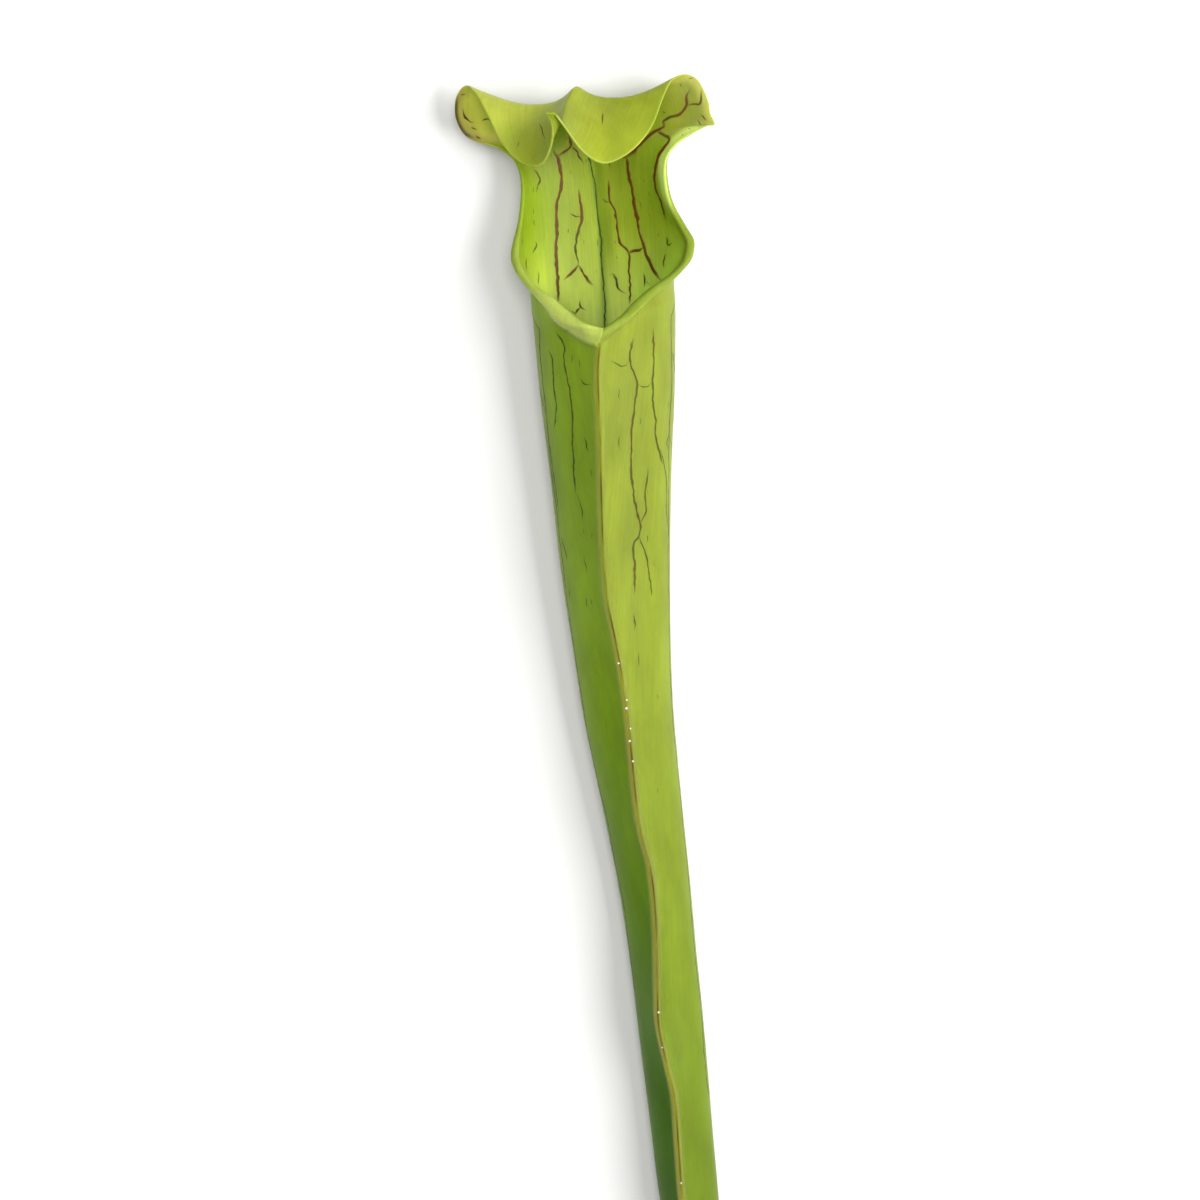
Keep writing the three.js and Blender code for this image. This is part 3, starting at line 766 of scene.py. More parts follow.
def pairs(row_a, row_b):
    """Two runs of numbers side by side."""
    return np.stack([row_a, row_b], -1)


left_rim = pairs(out_id[notch:, 0], in_id[notch - hollow:, 0])
right_rim = pairs(out_id[notch:, -1], in_id[notch - hollow:, -1])
tip_rim = pairs(out_id[-1], in_id[-1])
cut_all = np.concatenate([out_id[:1], wrapped(cut_id)])
blind_all = np.concatenate([in_id[:1], wrapped(blind_id)])
triangles = np.concatenate([
    strip(points, out_id[:-1], out_id[1:]),
    strip(points, in_id[:-1], in_id[1:])[:, ::-1],
    strip(points, left_rim[1:], left_rim[:-1]),
    strip(points, right_rim[:-1], right_rim[1:]),
    strip(points, tip_rim[1:], tip_rim[:-1]),
    strip(points, cut_all[1:], cut_all[:-1]),
    strip(points, blind_all[:-1], blind_all[1:]),
    fan(cut_end[0, 0], cut_all[-1]),
    fan(blind_end[0, 0], blind_all[-1])[:, ::-1],
])


def used_only(triangles, *values):
    """The triangles renumbered over the points that they use, with each point's values."""
    kept, renumbered = np.unique(triangles, return_inverse=True)
    return renumbered.reshape(-1, 3), *[value[kept] for value in values]


def open_edges(triangles):
    """Edges that are not met exactly once each way round."""
    size = int(triangles.max()) + 1
    a, b = triangles.ravel(), np.roll(triangles, -1, 1).ravel()
    there, back = np.sort(a * size + b), np.sort(b * size + a)
    return int((there != back).sum()) + len(there) - len(np.unique(there))


def enclosed(points, triangles):
    """Signed volume: the sum of a . (b x c) / 6."""
    a, b, c = points[triangles[:, 0]], points[triangles[:, 1]], points[triangles[:, 2]]
    return np.einsum("ij,ij->i", a, np.cross(b, c)).sum() / 6


# %% The closed skin, with its own lengthwise and crosswise measure
arc = np.concatenate([np.zeros((len(stations), 1)),
                      np.linalg.norm(np.diff(outer, axis=1), axis=-1).cumsum(1)], 1)
arc = arc - arc[:, [len(left[0]) - 1]]
outer_along = np.stack([arc, v_grid, np.zeros_like(arc)], -1)
inner_along = np.stack([arc, v_grid, np.ones_like(arc)], -1)[hollow:]
along = np.concatenate([block.reshape(-1, 3) for block in [outer_along, inner_along, *blocks[2:]]])
triangles, points, tints, along = used_only(triangles, points, tints, along)
print("triangles", len(triangles), "open edges", open_edges(triangles),
      "volume cm3", round(enclosed(points, triangles) / 1000, 2))

# %% [markdown]
# ## Living leaf
#
# A fresh pitcher is satin, slightly waxy and a little translucent. The colour attribute
# gives its broad colours. One soft noise mottles it, a long thin noise that follows the
# leaf gives the fine lengthwise grain that all trumpets have, in colour, gloss and relief,
# and a finer noise adds to the relief.
# An image of a leaf would be sharper close up, but it can't follow the tube without seams.

# %% Helpers for materials
def plain_material(name, **sockets):
    """A Principled material with some of its own sockets set by name."""
    material = bpy.data.materials.new(name)
    material.use_nodes = True
    shader = material.node_tree.nodes["Principled BSDF"]
    for socket, value in sockets.items():
        shader.inputs[socket.replace("_", " ")].default_value = value
    return material


def node(tree, kind, place, **values):
    """A node with some of its inputs set by name."""
    made = tree.nodes.new(kind)
    made.location = place
    for name, value in values.items():
        made.inputs[name.replace("_", " ")].default_value = value
    return made


def drawn_out(tree, place, vector, scale):
    """Coordinates scaled per axis, so that a noise on them is drawn out along the leaf."""
    made = node(tree, "ShaderNodeMapping", place, Scale=scale)
    tree.links.new(vector, made.inputs["Vector"])
    return made.outputs["Vector"]


def noise(tree, place, vector, **values):
    """The value of a noise on the given coordinates."""
    made = node(tree, "ShaderNodeTexNoise", place, **values)
    tree.links.new(vector, made.inputs["Vector"])
    return made.outputs["Fac"]


def ranged(tree, place, value, low, high):
    """A noise's usual 0.3 to 0.7 stretched to run from low to high."""
    made = node(tree, "ShaderNodeMapRange", place, From_Min=0.3, From_Max=0.7, To_Min=low,
                To_Max=high)
    tree.links.new(value, made.inputs["Value"])
    return made.outputs["Result"]


def worked_out(tree, place, operation, *values):
    """The result of a maths node, with its inputs linked to outputs or set to numbers."""
    made = node(tree, "ShaderNodeMath", place)
    made.operation = operation
    for socket, value in zip(made.inputs, values):
        if isinstance(value, float):
            socket.default_value = value
        else:
            tree.links.new(value, socket)
    return made.outputs[0]


# %% The leaf material
def leaf_material(name, roughness, grain_depth, subsurface, waxy):
    """Principled leaf: tint times mottling and grain, gloss from the grain, and bump from
    the grain plus a quarter of a finer noise."""
    material = plain_material(name, Specular_IOR_Level=0.14, Sheen_Weight=waxy,
                              Sheen_Roughness=0.35, Subsurface_Weight=subsurface,
                              Subsurface_Radius=(0.65, 1.0, 0.12), Subsurface_Scale=0.002)
    tree = material.node_tree
    shader = tree.nodes["Principled BSDF"]
    tint = node(tree, "ShaderNodeAttribute", (-1200, 300))
    tint.attribute_name = "tint"
    along = node(tree, "ShaderNodeAttribute", (-1500, -200))
    along.attribute_name = "along"
    place = node(tree, "ShaderNodeTexCoord", (-1500, 100)).outputs["Object"]

    mottled = drawn_out(tree, (-1350, 100), place, (1, 0.35, 1))
    mottling = noise(tree, (-1200, 60), mottled, Scale=130, Detail=4, Roughness=0.6)
    streaked = drawn_out(tree, (-1300, -200), along.outputs["Vector"], (2.6, 0.05, 1))
    grain = noise(tree, (-1100, -200), streaked, Scale=1, Detail=4, Roughness=0.55)
    fine = noise(tree, (-1100, -500), place, Scale=1900, Detail=2, Roughness=0.5)

    shade = worked_out(tree, (-800, 0), "MULTIPLY",
                       ranged(tree, (-1000, 60), mottling, 0.83, 1.13),
                       ranged(tree, (-900, -200), grain, 0.93, 1.07))
    colour = node(tree, "ShaderNodeVectorMath", (-600, 200))
    colour.operation = "SCALE"
    tree.links.new(tint.outputs["Color"], colour.inputs["Vector"])
    tree.links.new(shade, colour.inputs["Scale"])
    tree.links.new(colour.outputs["Vector"], shader.inputs["Base Color"])
    gloss = ranged(tree, (-600, -100), grain, roughness - 0.07, roughness + 0.07)
    tree.links.new(gloss, shader.inputs["Roughness"])
    relief = worked_out(tree, (-800, -400), "MULTIPLY_ADD", fine, 0.25, grain)
    bump = node(tree, "ShaderNodeBump", (-500, -400), Strength=0.6, Distance=grain_depth)
    tree.links.new(relief, bump.inputs["Height"])
    tree.links.new(bump.outputs["Normal"], shader.inputs["Normal"])
    return material


LEAF = leaf_material("living_leaf", 0.42, 0.00012, 0.6, 0.02)
print("materials", [material.name for material in bpy.data.materials])

# %% [markdown]
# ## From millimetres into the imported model's place
#
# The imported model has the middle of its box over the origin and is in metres. One shift and
# one scale bring every point there, so the objects themselves stay at the origin, unturned.

# %% Objects
SHIFT = np.array([-0.01114, 164.46129, 0.0])
SHARP = np.radians(48)
MARGIN_IN = 3.0
VEIN_ROOM = 0.1
box_low, box_high = [1000 * np.array(corner) + SHIFT for corner in (cad_low, cad_high)]
skin_low, skin_high = points.min(0) - VEIN_ROOM, points.max(0) + VEIN_ROOM


def drawn_in(points):
    """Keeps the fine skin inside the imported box. What lies within MARGIN_IN of the box's
    highest face is scaled towards it by (box - start) / (skin - start), the same at the
    lowest face, and nothing goes below the table."""
    top, foot = box_high - MARGIN_IN, box_low + MARGIN_IN
    high = top + (points - top) * np.minimum(1, (box_high - top) / (skin_high - top))
    low = foot + (points - foot) * np.minimum(1, (box_low - foot) / (skin_low - foot))
    placed = np.where(points > top, high, points)
    placed[:, :2] = np.where(points < foot, low, placed)[:, :2]
    placed[:, 2] = np.maximum(placed[:, 2], 0)
    return placed


def make_piece(name, points, triangles, material, attributes):
    """An object from points in millimetres, with colour and vector attributes per point."""
    mesh = bpy.data.meshes.new(name)
    mesh.vertices.add(len(points))
    mesh.vertices.foreach_set("co", ((drawn_in(points) - SHIFT) / 1000).ravel())
    mesh.loops.add(triangles.size)
    mesh.loops.foreach_set("vertex_index", triangles.ravel().astype(np.int32))
    mesh.polygons.add(len(triangles))
    mesh.polygons.foreach_set("loop_start", np.arange(0, triangles.size, 3, dtype=np.int32))
    mesh.polygons.foreach_set("use_smooth", np.ones(len(triangles), bool))
    mesh.update(calc_edges=True)
    for label, values in attributes.items():
        if label == "tint":
            layer = mesh.color_attributes.new(label, "FLOAT_COLOR", "POINT")
            rgba = np.concatenate([np.clip(values, 0, 1), np.ones((len(values), 1))], 1)
            layer.data.foreach_set("color", rgba.ravel())
        else:
            layer = mesh.attributes.new(label, "FLOAT_VECTOR", "POINT")
            layer.data.foreach_set("vector", np.ascontiguousarray(values).ravel())
    mesh.set_sharp_from_angle(angle=SHARP)
    mesh.materials.append(material)
    piece = bpy.data.objects.new(name, mesh)
    bpy.context.scene.collection.objects.link(piece)
    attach(piece, "root")
    return piece


pitcher_leaf = make_piece("pitcher_leaf", points, triangles, LEAF, {"tint": tints, "along": along})
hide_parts("pitcher")
print(pitcher_leaf.name, len(pitcher_leaf.data.vertices), "points")

# %% [markdown]
# ## Veins
#
# The red-brown veins stand a little proud of the inner face, and fine green ones run down
# the outside. On the real leaf they are strands of pipes under the skin, so each is made as
# a low lens-shaped strand that follows its face, with its edges sunk below the skin and
# tinted like it. Each row gives the half width in millimetres, how red the vein is, and
# its course as stations and u. A painted image would lose the relief that catches the light.

# %% Measured veins of the inner face
INNER_VEINS = [
    [0.46, 1, [[312.5, -.45], [310.5, -.44], [303.5, -.4], [300.5, -.43], [290, -.37],
               [284.5, -.35], [281.5, -.3], [278, -.25], [276.8, -.24]]],
    [0.34, 1, [[316.5, -.19], [313.3, -.25], [311, -.43]]],
    [0.3, 0.8, [[313.3, -.25], [312, -.19], [310, -.16], [308.5, -.12]]],
    [0.34, 0.9, [[303, -.19], [296.5, -.15], [290.5, -.19], [285, -.17]]],
    [0.38, 0.9, [[285.6, -.163], [284.4, -.19], [282, -.26]]],
    [0.38, 0.8, [[285.6, -.175], [284.4, -.15], [280, -.05]]],
    [0.22, 0.4, [[297.5, -.27], [296.5, -.2], [296.5, -.15]]],
    [0.32, 0.8, [[308.5, -.79], [306, -.71], [303.5, -.75]]],
    [0.2, 0.1, [[299.5, -.75], [298, -.73]]],
    [0.22, 0.1, [[297, -.72], [295.5, -.68]]],
    [0.24, 0.1, [[292, -.63], [291, -.61], [289, -.65]]],
    [0.22, 0, [[288.5, -.73], [287, -.77], [285, -.79]]],
    [0.22, 0.1, [[285, -.56], [281.5, -.52]]],
    [0.18, 0.5, [[294, -.27], [292.8, -.27]]],
    [0.15, 0, [[307.2, -.29], [306.5, -.28]]],
    [0.26, 0.6, [[274.8, -.14], [273.8, -.11]]],
    [0.38, 0.9, [[273.6, -.115], [275.5, -.1]]],
    [0.24, 0.2, [[277, -.11], [275.4, -.1], [274.4, -.07]]],
    [0.3, 0.95, [[304.5, .16], [299.5, .14], [297, .18], [289.5, .17], [287, .22],
                 [280.5, .17], [276, .12], [274.8, .11]]],
    [0.44, 1, [[309.5, .39], [309, .42], [302, .41], [293.5, .36], [288, .37], [281, .39], [279.8, .4]]],
    [0.26, 0.8, [[309, .35], [309.3, .39], [308.6, .42]]],
    [0.4, 1, [[286.8, .2], [287.2, .25], [287.7, .33], [288.1, .39]]],
    [0.46, 1, [[309, .4], [310.5, .5], [315.5, .59], [317.6, .6], [318.4, .62]]],
    [0.36, 0.75, [[316.6, .595], [318, .6], [319, .66], [319.5, .75], [321.5, .83], [323, .85],
                 [324.5, .91]]],
    [0.3, 0.75, [[321.2, .8], [321.3, .86], [321, .92], [323.5, .98]]],
    [0.38, 0.95, [[315.7, .56], [315.2, .62], [311.5, .85], [306.5, .85], [301, .79], [298.5, .8],
                  [294, .71]]],
    [0.3, 0.2, [[290.2, .63], [288, .63], [288.6, .69]]],
    [0.32, 0.4, [[286.2, .59], [284.6, .55], [282.8, .51]]],
    [0.2, 0.2, [[303.8, .6], [303, .6]]],
    [0.2, 0.2, [[295.8, .52], [295, .51]]],
    [0.2, 0.2, [[291, .55], [290.2, .54]]],
    [0.28, 0.4, [[282, .05], [282.3, .08], [279, .09], [277.3, .12]]],
    [0.28, 0.2, [[282, .29], [280.5, .27], [278.5, .23]]],
    [0.24, 0.3, [[300.2, .06], [299.2, .1], [299.5, .14]]],
    [0.3, 0.4, [[323.5, -.94], [322.5, -.92], [321.8, -.92], [321.3, -.89], [321.3, -.86]]],
    [0.34, 0.4, [[320.5, -.91], [320, -.87]]],
    [0.34, 0.4, [[318.9, -.92], [317.7, -.93]]],
    [0.3, 0.4, [[321.7, -.8], [322.2, -.75], [321.8, -.73]]],
    [0.34, 0.4, [[325.4, -.975], [325.8, -.94]]],
    [0.34, 0.3, [[326.2, .87], [325.3, .86]]],
    [0.26, 0.9, [[326.2, .95], [325.9, .99]]],
    [0.34, 0.1, [[321, .62], [320.1, .63]]],
    [0.36, 0.4, [[318.8, .92], [317.8, .94]]],
    [0.36, 0.4, [[318, .87], [317, .89]]],
    [0.24, 0.1, [[315.5, .87], [315, .91]]],
    [0.24, 0.1, [[313.5, .9], [312.8, .95]]],
]

# %% Measured veins of the outer face
OUTER_VEINS = [
    [0.15, 0, [[338.5, -.49], [340, -.53], [341.5, -.59], [342.7, -.66]]],
    [0.21, 0.1, [[338.5, -.83], [339, -.9]]],
    [0.22, 0.1, [[338.5, .44], [340, .51], [341, .57]]],
    [0.31, 0.5, [[269, .76], [264, .78], [258, .73], [253, .75], [250, .76], [238.5, .77],
                 [235, .76], [229.5, .74], [225, .71], [222.5, .72], [221, .75],
                 [213.5, .75], [208.5, .77]]],
    [0.22, 0.1, [[204.5, .78], [200, .8]]],
    [0.18, 0, [[195, .79], [191, .81]]],
    [0.29, 0.3, [[270.5, .64], [263, .63], [258, .64], [252.5, .63], [249, .62], [244, .61],
                 [238, .55]]],
    [0.18, 0, [[258, .73], [257, .68], [258, .64]]],
    [0.26, 0.3, [[238, .66], [232, .68], [228, .67], [225, .71]]],
    [0.21, 0.1, [[222.5, .72], [218.5, .68], [214.5, .66], [207, .64]]],
    [0.26, 0.1, [[267.5, -.58], [265, -.61], [259, -.6], [254.5, -.61], [249, -.57]]],
    [0.26, 0.2, [[272, -.64], [268.5, -.7], [265, -.7], [262, -.72], [258, -.74],
                 [246.5, -.73], [238, -.71], [233.5, -.72]]],
    [0.23, 0.1, [[261, -.84], [259.5, -.88], [259.5, -.94]]],
    [0.23, 0.2, [[247.5, -.84], [243.5, -.88]]],
    [0.21, 0.1, [[240, -.9], [238, -.91]]],
    [0.15, 0, [[258, .85], [255, .84]]],
    [0.15, 0, [[247, .85], [243.5, .85]]],
    [0.16, 0, [[242, .58], [238, .54], [234, .51], [226.5, .5], [222.5, .48]]],
    [0.17, 0, [[245.5, .49], [243.5, .52], [241, .5]]],
    [0.17, 0, [[264, .47], [261, .45]]],
    [0.14, 0, [[264.5, .91], [262.5, .81], [264, .78]]],
    [0.15, 0, [[210, .65], [207.5, .64]]],
    [0.22, 0, [[246, -.48], [244, -.5], [239.5, -.5], [234, -.51], [229, -.52]]],
    [0.22, 0, [[223, -.51], [220, -.55], [217.5, -.56]]],
    [0.17, 0, [[234, -.72], [231, -.76], [227, -.78]]],
    [0.16, 0, [[219, -.76], [215, -.77]]],
    [0.16, 0, [[265.5, -.83], [263, -.84]]],
    [0.16, 0, [[211, -.54], [208, -.53]]],
    [0.15, 0, [[209.5, -.73], [206, -.72]]],
]
print("measured veins", len(INNER_VEINS), "inside and", len(OUTER_VEINS), "outside")

# %% [markdown]
# ### Veins of the back, and short flecks
#
# The back of the tube isn't measured. Real pitchers carry about a dozen nearly parallel
# strands there, joined by short slanting links and fading towards the stalk. The strong
# inner veins also show faintly through the hood's back. A few dozen short green flecks, the
# ends of veins that dip under the skin, are spread over both faces from a fixed seed.

# %% Guessed veins of the back
chance = np.random.default_rng(23)
BACK_STRANDS = np.linspace(-0.5, 0.5, 11)
STRAND_FOOT = [60, 130]
STRAND_TOP = 318
KEY_GAP = 11.0
KEY_NOISE = 0.012
STRAND_HALF = [0.17, 0.23]
STRAND_RED = 0.05
LINK_TOP = 300
LINK_RISE = [3, 8]
LINK_HALF = [0.12, 0.16]
FIRST_LINK = [5, 20]
NEXT_LINK = [15, 40]


def back_veins():
    """Strands from a random foot to the neck at u (0.97 + 0.03 cos(station / 47)) plus a
    little noise, and slanting links between neighbours, one every NEXT_LINK mm."""
    made = []
    courses = []
    for u in BACK_STRANDS:
        course = np.arange(chance.uniform(*STRAND_FOOT), STRAND_TOP, KEY_GAP)
        wander = u * (0.97 + 0.03 * np.cos(course / 47))
        wander = wander + chance.normal(0, KEY_NOISE, len(course))
        courses.append((course, wander))
        made.append([chance.uniform(*STRAND_HALF), STRAND_RED, np.stack([course, wander], 1)])
    for (one, u_one), (two, u_two) in zip(courses[:-1], courses[1:]):
        low = max(one[0], two[0]) + chance.uniform(*FIRST_LINK)
        while low < LINK_TOP:
            high = low + chance.uniform(*LINK_RISE)
            ends = [[low, np.interp(low, one, u_one)], [high, np.interp(high, two, u_two)]]
            made.append([chance.uniform(*LINK_HALF), 0, np.array(ends)])
            low += chance.uniform(*NEXT_LINK)
    return made


BACK_VEINS = back_veins()
print("back veins and links", len(BACK_VEINS))

# %% Flecks, and the veins that show through
FLECK_LONG = [0.6, 2.4]
FLECK_LEAN = 0.012
FLECK_HALF = [0.12, 0.2]
SHOWN_HALF = 0.6
SHOWN_RED = 0.15
SHOWN_ABOVE = 274
STRONG = 0.29
# The crease's strand: partly the midrib's dark line, partly painted shade in the crease.
CREASE_VEIN = [0.2, 0, CREASE]


def flecks(count, low, high, widest):
    """Short strands of FLECK_LONG mm at random places between two stations."""
    made = []
    for station, u, long, lean in zip(chance.uniform(low, high, count),
                                      chance.uniform(-widest, widest, count),
                                      chance.uniform(*FLECK_LONG, count),
                                      chance.normal(0, FLECK_LEAN, count)):
        course = np.array([[station, u], [station + long / 2, u + lean], [station + long, u]])
        made.append([chance.uniform(*FLECK_HALF), 0, course])
    return made


SHOWN_THROUGH = [[SHOWN_HALF * half, SHOWN_RED, course] for half, _, course in INNER_VEINS
                 if half > STRONG and np.array(course)[:, 0].min() > SHOWN_ABOVE]
outside = OUTER_VEINS + SHOWN_THROUGH + BACK_VEINS + flecks(42, 150, 336, 0.92)
inside = INNER_VEINS + [CREASE_VEIN] + flecks(30, 274, 326, 0.9)
print("strands", len(inside), "inside and", len(outside), "outside")

# %% Samples along a strand
VEIN_STEP = 0.45
BOLD = 0.25
METRIC = 18
TAPER = 1.6
THINNEST = 0.03
FADED = [2, 0.3]
WIDTH_NOISE = [0.9, 0.22]
WIDTH_LIMITS = [0.55, 1.5]
SIDE_NOISES = [[0.8, 0.09], [4, 0.14]]
RED_NOISE = [3, 0.28]


def wobble(length, knot, size):
    """Smooth noise of one standard size along a length, with a value every knot mm."""
    count = max(4, int(length[-1] / knot) + 2)
    return np.interp(length, np.linspace(0, length[-1], count), chance.normal(0, size, count))


def course_samples(half, redness, course):
    """Even samples of one strand: station, u, side step, half width, redness, end share.
    METRIC turns u into millimetres. The half width is tapered by sqrt(from end / TAPER)."""
    course = np.asarray(course, float)
    gap = np.hypot(np.diff(course[:, 0]), METRIC * np.diff(course[:, 1]))
    reach = np.concatenate([[0], gap.cumsum()])
    step = VEIN_STEP if half > BOLD else 2 * VEIN_STEP
    length = np.linspace(0, reach[-1], max(4, int(reach[-1] / step) + 1))
    at = through(np.column_stack([reach, course]), length)
    from_end = np.minimum(length, reach[-1] - length)
    taper = np.sqrt(np.clip(from_end / TAPER, THINNEST, 1))
    width = half * taper * np.clip(1 + wobble(length, *WIDTH_NOISE), *WIDTH_LIMITS)
    aside = sum(wobble(length, *noisy) for noisy in SIDE_NOISES) * np.clip(from_end, 0, 1)
    red = np.clip(redness + wobble(length, *RED_NOISE) * (redness > 0), 0, 1)
    faded = np.clip(from_end / min(FADED[0], FADED[1] * reach[-1]), 0, 1)
    return np.column_stack([at, aside, width, red, faded])


print("vein step", VEIN_STEP, "mm, and twice that for thin ones")

# %% Section and colours of a strand
ACROSS = np.array([-1, -0.55, 0, 0.55, 1, 0.5, -0.5])
PROUD = np.array([-0.14, 0.09, 0.18, 0.09, -0.14, -0.4, -0.4])
CORE = np.array([0, 0.9, 1, 0.9, 0, 0, 0])
RED_BROWN = green(86, 47, 0)
OLIVE_BROWN = green(80, 58, 0)
DEEP_GREEN = green(46, 68, 2)
END_TINT = 0.3
OUTER_TINT = 0.95


def strand_tint(skin, red, fading, inside):
    """skin + (vein - skin) core strength: the vein goes from deep green to brown by its
    redness, and the core is full on the strand's back and nothing at its edges."""
    vein = tinted(np.broadcast_to(DEEP_GREEN, skin.shape), RED_BROWN if inside else OLIVE_BROWN,
                  red)
    strength = (END_TINT + (1 - END_TINT) * fading) * (1 if inside else OUTER_TINT)
    return skin[:, None] + (vein - skin)[:, None] * (CORE * strength[:, None])[..., None]


def squares(a, b):
    """Two triangles per square of the numbered rows a and b, all split the same way."""
    one = np.stack([a[:, :-1], b[:, :-1], b[:, 1:]], -1)
    two = np.stack([a[:, :-1], b[:, 1:], a[:, 1:]], -1)
    return np.concatenate([one, two]).reshape(-1, 3)


def strand_triangles(number, first, last):
    """Squares between neighbouring sections of one strand, and a lid on both its ends."""
    ring = wrapped(number)
    joined = np.ones(len(number) - 1, bool)
    joined[first[1:] - 1] = False
    lid = np.array([[0, k, k + 1] for k in range(1, number.shape[1] - 1)])
    start = number[first][:, lid].reshape(-1, 3)
    end = number[last][:, lid].reshape(-1, 3)[:, ::-1]
    return np.concatenate([squares(ring[:-1][joined], ring[1:][joined]), start, end])[:, ::-1]


print("section of a strand", len(ACROSS), "points, proud by", PROUD.max(), "half widths")

# %% Strands on a face
SPREAD = {True: 1.25, False: 1.3}
EDGE_U = 0.995


def strands(courses, inside):
    """Points, triangles, colours and measures of many strands: at each sample the section
    (across, proud) times the half width, laid along the side and the normal of the face."""
    parts = [course_samples(SPREAD[inside] * half, red, course) for half, red, course in courses]
    counts = np.array([len(part) for part in parts])
    first = np.cumsum(counts) - counts
    last = first + counts - 1
    station, u, aside, width, red, fading = np.concatenate(parts).T
    u = np.clip(u, -EDGE_U, EDGE_U)
    out, back, info = faces(u, station)
    face, normal = (back, -outward(u, station)) if inside else (out, outward(u, station))
    ahead = np.gradient(face, axis=0)
    ahead[first] = face[first + 1] - face[first]
    ahead[last] = face[last] - face[last - 1]
    side = unit(np.cross(ahead, normal))
    middle = face + side * aside[:, None]
    ring = (middle[:, None] + side[:, None] * (ACROSS * width[:, None])[..., None]
            + normal[:, None] * (PROUD * width[:, None])[..., None])
    number = np.arange(len(face) * len(ACROSS)).reshape(-1, len(ACROSS))
    tint = strand_tint(skin_colour(u, station, inside, info), red, fading, inside)
    along = np.stack([METRIC * u[:, None] + ACROSS * width[:, None],
                      np.broadcast_to(station[:, None], number.shape),
                      np.full(number.shape, float(inside))], -1)
    triangles = strand_triangles(number, first, last)
    return ring.reshape(-1, 3), triangles, tint.reshape(-1, 3), along.reshape(-1, 3)


VEIN = leaf_material("vein", 0.44, 0.00008, 0.1, 0)
for name, courses, within in (("inner_veins", inside, True), ("outer_veins", outside, False)):
    points, triangles, tints, along = strands(courses, within)
    make_piece(name, points, triangles, VEIN, {"tint": tints, "along": along})
    print(name, len(triangles), "triangles, open edges", open_edges(triangles),
          "volume mm3", round(enclosed(points, triangles), 1))

# %% [markdown]
# ## Nectar
#
# Glands along the wing weep nectar that draws insects up to the mouth. A few drops sit on
# the crest as low domes, wider than they are high, and catch the light. They are coloured a
# pale milky gold, a painted highlight, where real nectar is clear. They are too small
# to need more than a few dozen faces each.

# %% Drops on the crest
DROPS = np.array([
    [194, 0.28, -0.3], [185, 0.24, 0.2], [183, 0.34, -0.1], [178, 0.22, 0.3], [175, 0.3, -0.2],
    [170, 0.26, 0.1], [107, 0.3, 0.15], [98, 0.2, -0.2], [63, 0.26, 0],
])
FLATNESS = 0.7
RAISED = 0.3
ROUNDS = 10
RINGS = 6


def drop_shapes(places, radii):
    """Flattened spheres: place + r (cos a sin b, cos a cos b, flat sin a), closed by two
    poles."""
    a = np.linspace(-np.pi / 2, np.pi / 2, RINGS + 1)[1:-1]
    b = np.linspace(0, 2 * np.pi, ROUNDS, endpoint=False)
    ball = np.stack([np.outer(np.cos(a), np.sin(b)), np.outer(np.cos(a), np.cos(b)),
                     np.outer(np.sin(a), np.ones_like(b))], -1).reshape(-1, 3)
    ball = np.concatenate([ball, [-UP, UP]]) * [1, 1, FLATNESS]
    number = np.arange((RINGS - 1) * ROUNDS).reshape(RINGS - 1, ROUNDS)
    ring = wrapped(number)
    one = np.concatenate([squares(ring[:-1], ring[1:]), fan(number.size, ring[0]),
                          fan(number.size + 1, ring[-1])[:, ::-1]])
    points = places[:, None] + radii[:, None, None] * ball
    offset = len(ball) * np.arange(len(places))[:, None, None]
    return points.reshape(-1, 3), (one + offset).reshape(-1, 3)


station, radii, aside = DROPS.T
crest, _, _ = faces(np.ones_like(station), station)
places = crest + UP * (RAISED * radii)[:, None] + np.array([1.0, 0, 0]) * aside[:, None]
points, triangles = drop_shapes(places, radii)
# Painted highlight: a pale milky base colour and only part clear, so the drops show as bright glints.
NECTAR_PAINTED_PALE = plain_material("nectar", Base_Color=(0.95, 0.92, 0.78, 1), Roughness=0.04, IOR=1.38,
                        Transmission_Weight=0.4)
make_piece("nectar_drops", points, triangles, NECTAR_PAINTED_PALE, {})
print("drops", len(DROPS), "triangles", len(triangles), "open edges", open_edges(triangles),
      "volume mm3", round(enclosed(points, triangles), 2))

# %% [markdown]
# ## Table, light and camera
#
# A picked pitcher is best seen from above on a pale table, with one large soft light from
# the right, so that the mouth, the lip and the lobes throw short soft shadows.

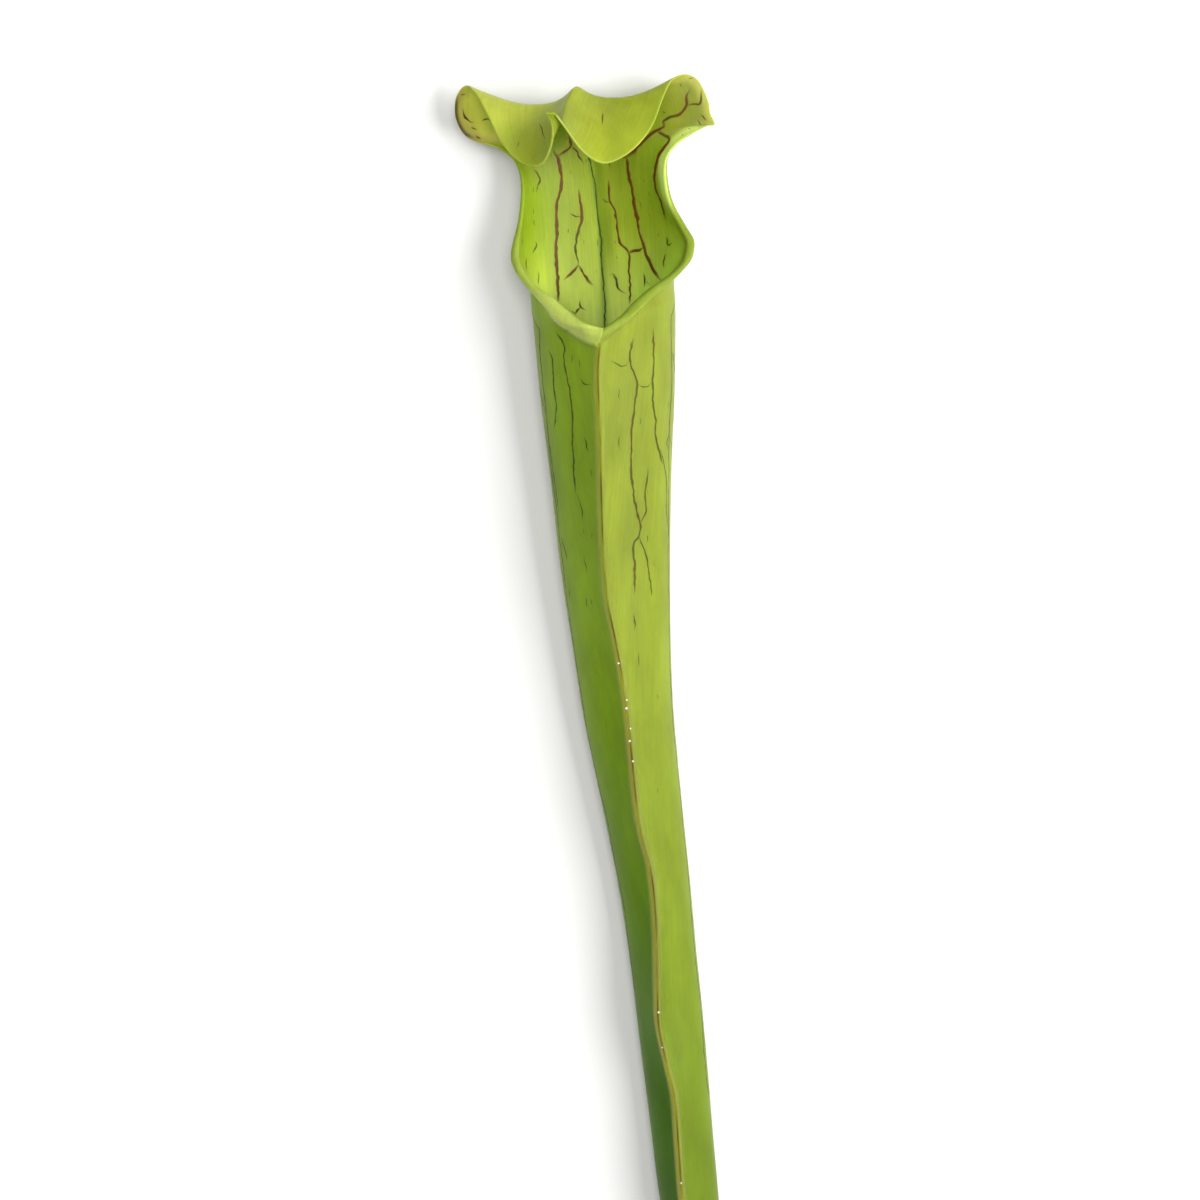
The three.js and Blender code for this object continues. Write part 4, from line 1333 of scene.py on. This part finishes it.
# %% The table under the leaf
HALF_TABLE = 0.8
CORNERS = [(-1, -1), (1, -1), (1, 1), (-1, 1)]
TABLE = plain_material("pale_table", Base_Color=(0.84, 0.84, 0.83, 1), Roughness=0.8,
                       Specular_IOR_Level=0.25)
table_mesh = bpy.data.meshes.new("table")
table_mesh.from_pydata([(HALF_TABLE * x, HALF_TABLE * y, 0) for x, y in CORNERS], [],
                       [(0, 1, 2, 3)])
table_mesh.materials.append(TABLE)
table = bpy.data.objects.new("table", table_mesh)
bpy.context.scene.collection.objects.link(table)
print("table", 2 * HALF_TABLE, "m across")

# %% One soft light and a pale sky
def aim(thing, place, target):
    """Turns the thing's -Z from place to target, with its own Y upwards."""
    thing.location = place
    thing.rotation_euler = (Vector(target) - Vector(place)).to_track_quat("-Z", "Y").to_euler()


def soft_light(name, place, target, width, energy):
    """A square lamp of some width in metres and energy in watts."""
    lamp = bpy.data.lights.new(name, "AREA")
    lamp.size = width
    lamp.energy = energy
    holder = bpy.data.objects.new(name, lamp)
    bpy.context.scene.collection.objects.link(holder)
    aim(holder, place, target)


soft_light("side_light", (0.55, 0.03, 0.6), (0, 0.03, 0.01), 0.5, 8.6)
soft_light("ceiling_light", (-0.04, 0.27, 0.92), (0, 0.08, 0.01), 0.45, 4.8)

sky = bpy.data.worlds.new("pale_sky")
sky.use_nodes = True
sky.node_tree.nodes["Background"].inputs["Color"].default_value = (1, 0.995, 0.98, 1)
sky.node_tree.nodes["Background"].inputs["Strength"].default_value = 0.28
bpy.context.scene.world = sky
bpy.context.scene.view_settings.view_transform = "Standard"

# %% Camera
ROLL = np.radians(5.56)
LEAN = np.radians(10)
DISTANCE = 668.667
TARGET = np.array([-7.326, 206.947, 12.0])
level_up = np.array([0, np.cos(LEAN), -np.sin(LEAN)])
back = np.array([0, np.sin(LEAN), np.cos(LEAN)])
across = np.array([1.0, 0, 0])
camera_axes = [across * np.cos(ROLL) - level_up * np.sin(ROLL),
               across * np.sin(ROLL) + level_up * np.cos(ROLL), back]
place = (TARGET + DISTANCE * back - SHIFT) / 1000
lens = bpy.data.cameras.new("camera")
lens.lens = 85
lens.sensor_width = 36
camera = bpy.data.objects.new("camera", lens)
facing = Matrix([Vector(axis) for axis in camera_axes]).transposed().to_4x4()
camera.matrix_world = Matrix.Translation(Vector(place)) @ facing
bpy.context.scene.collection.objects.link(camera)
bpy.context.scene.camera = camera
print("camera", [round(x, 3) for x in camera.location])
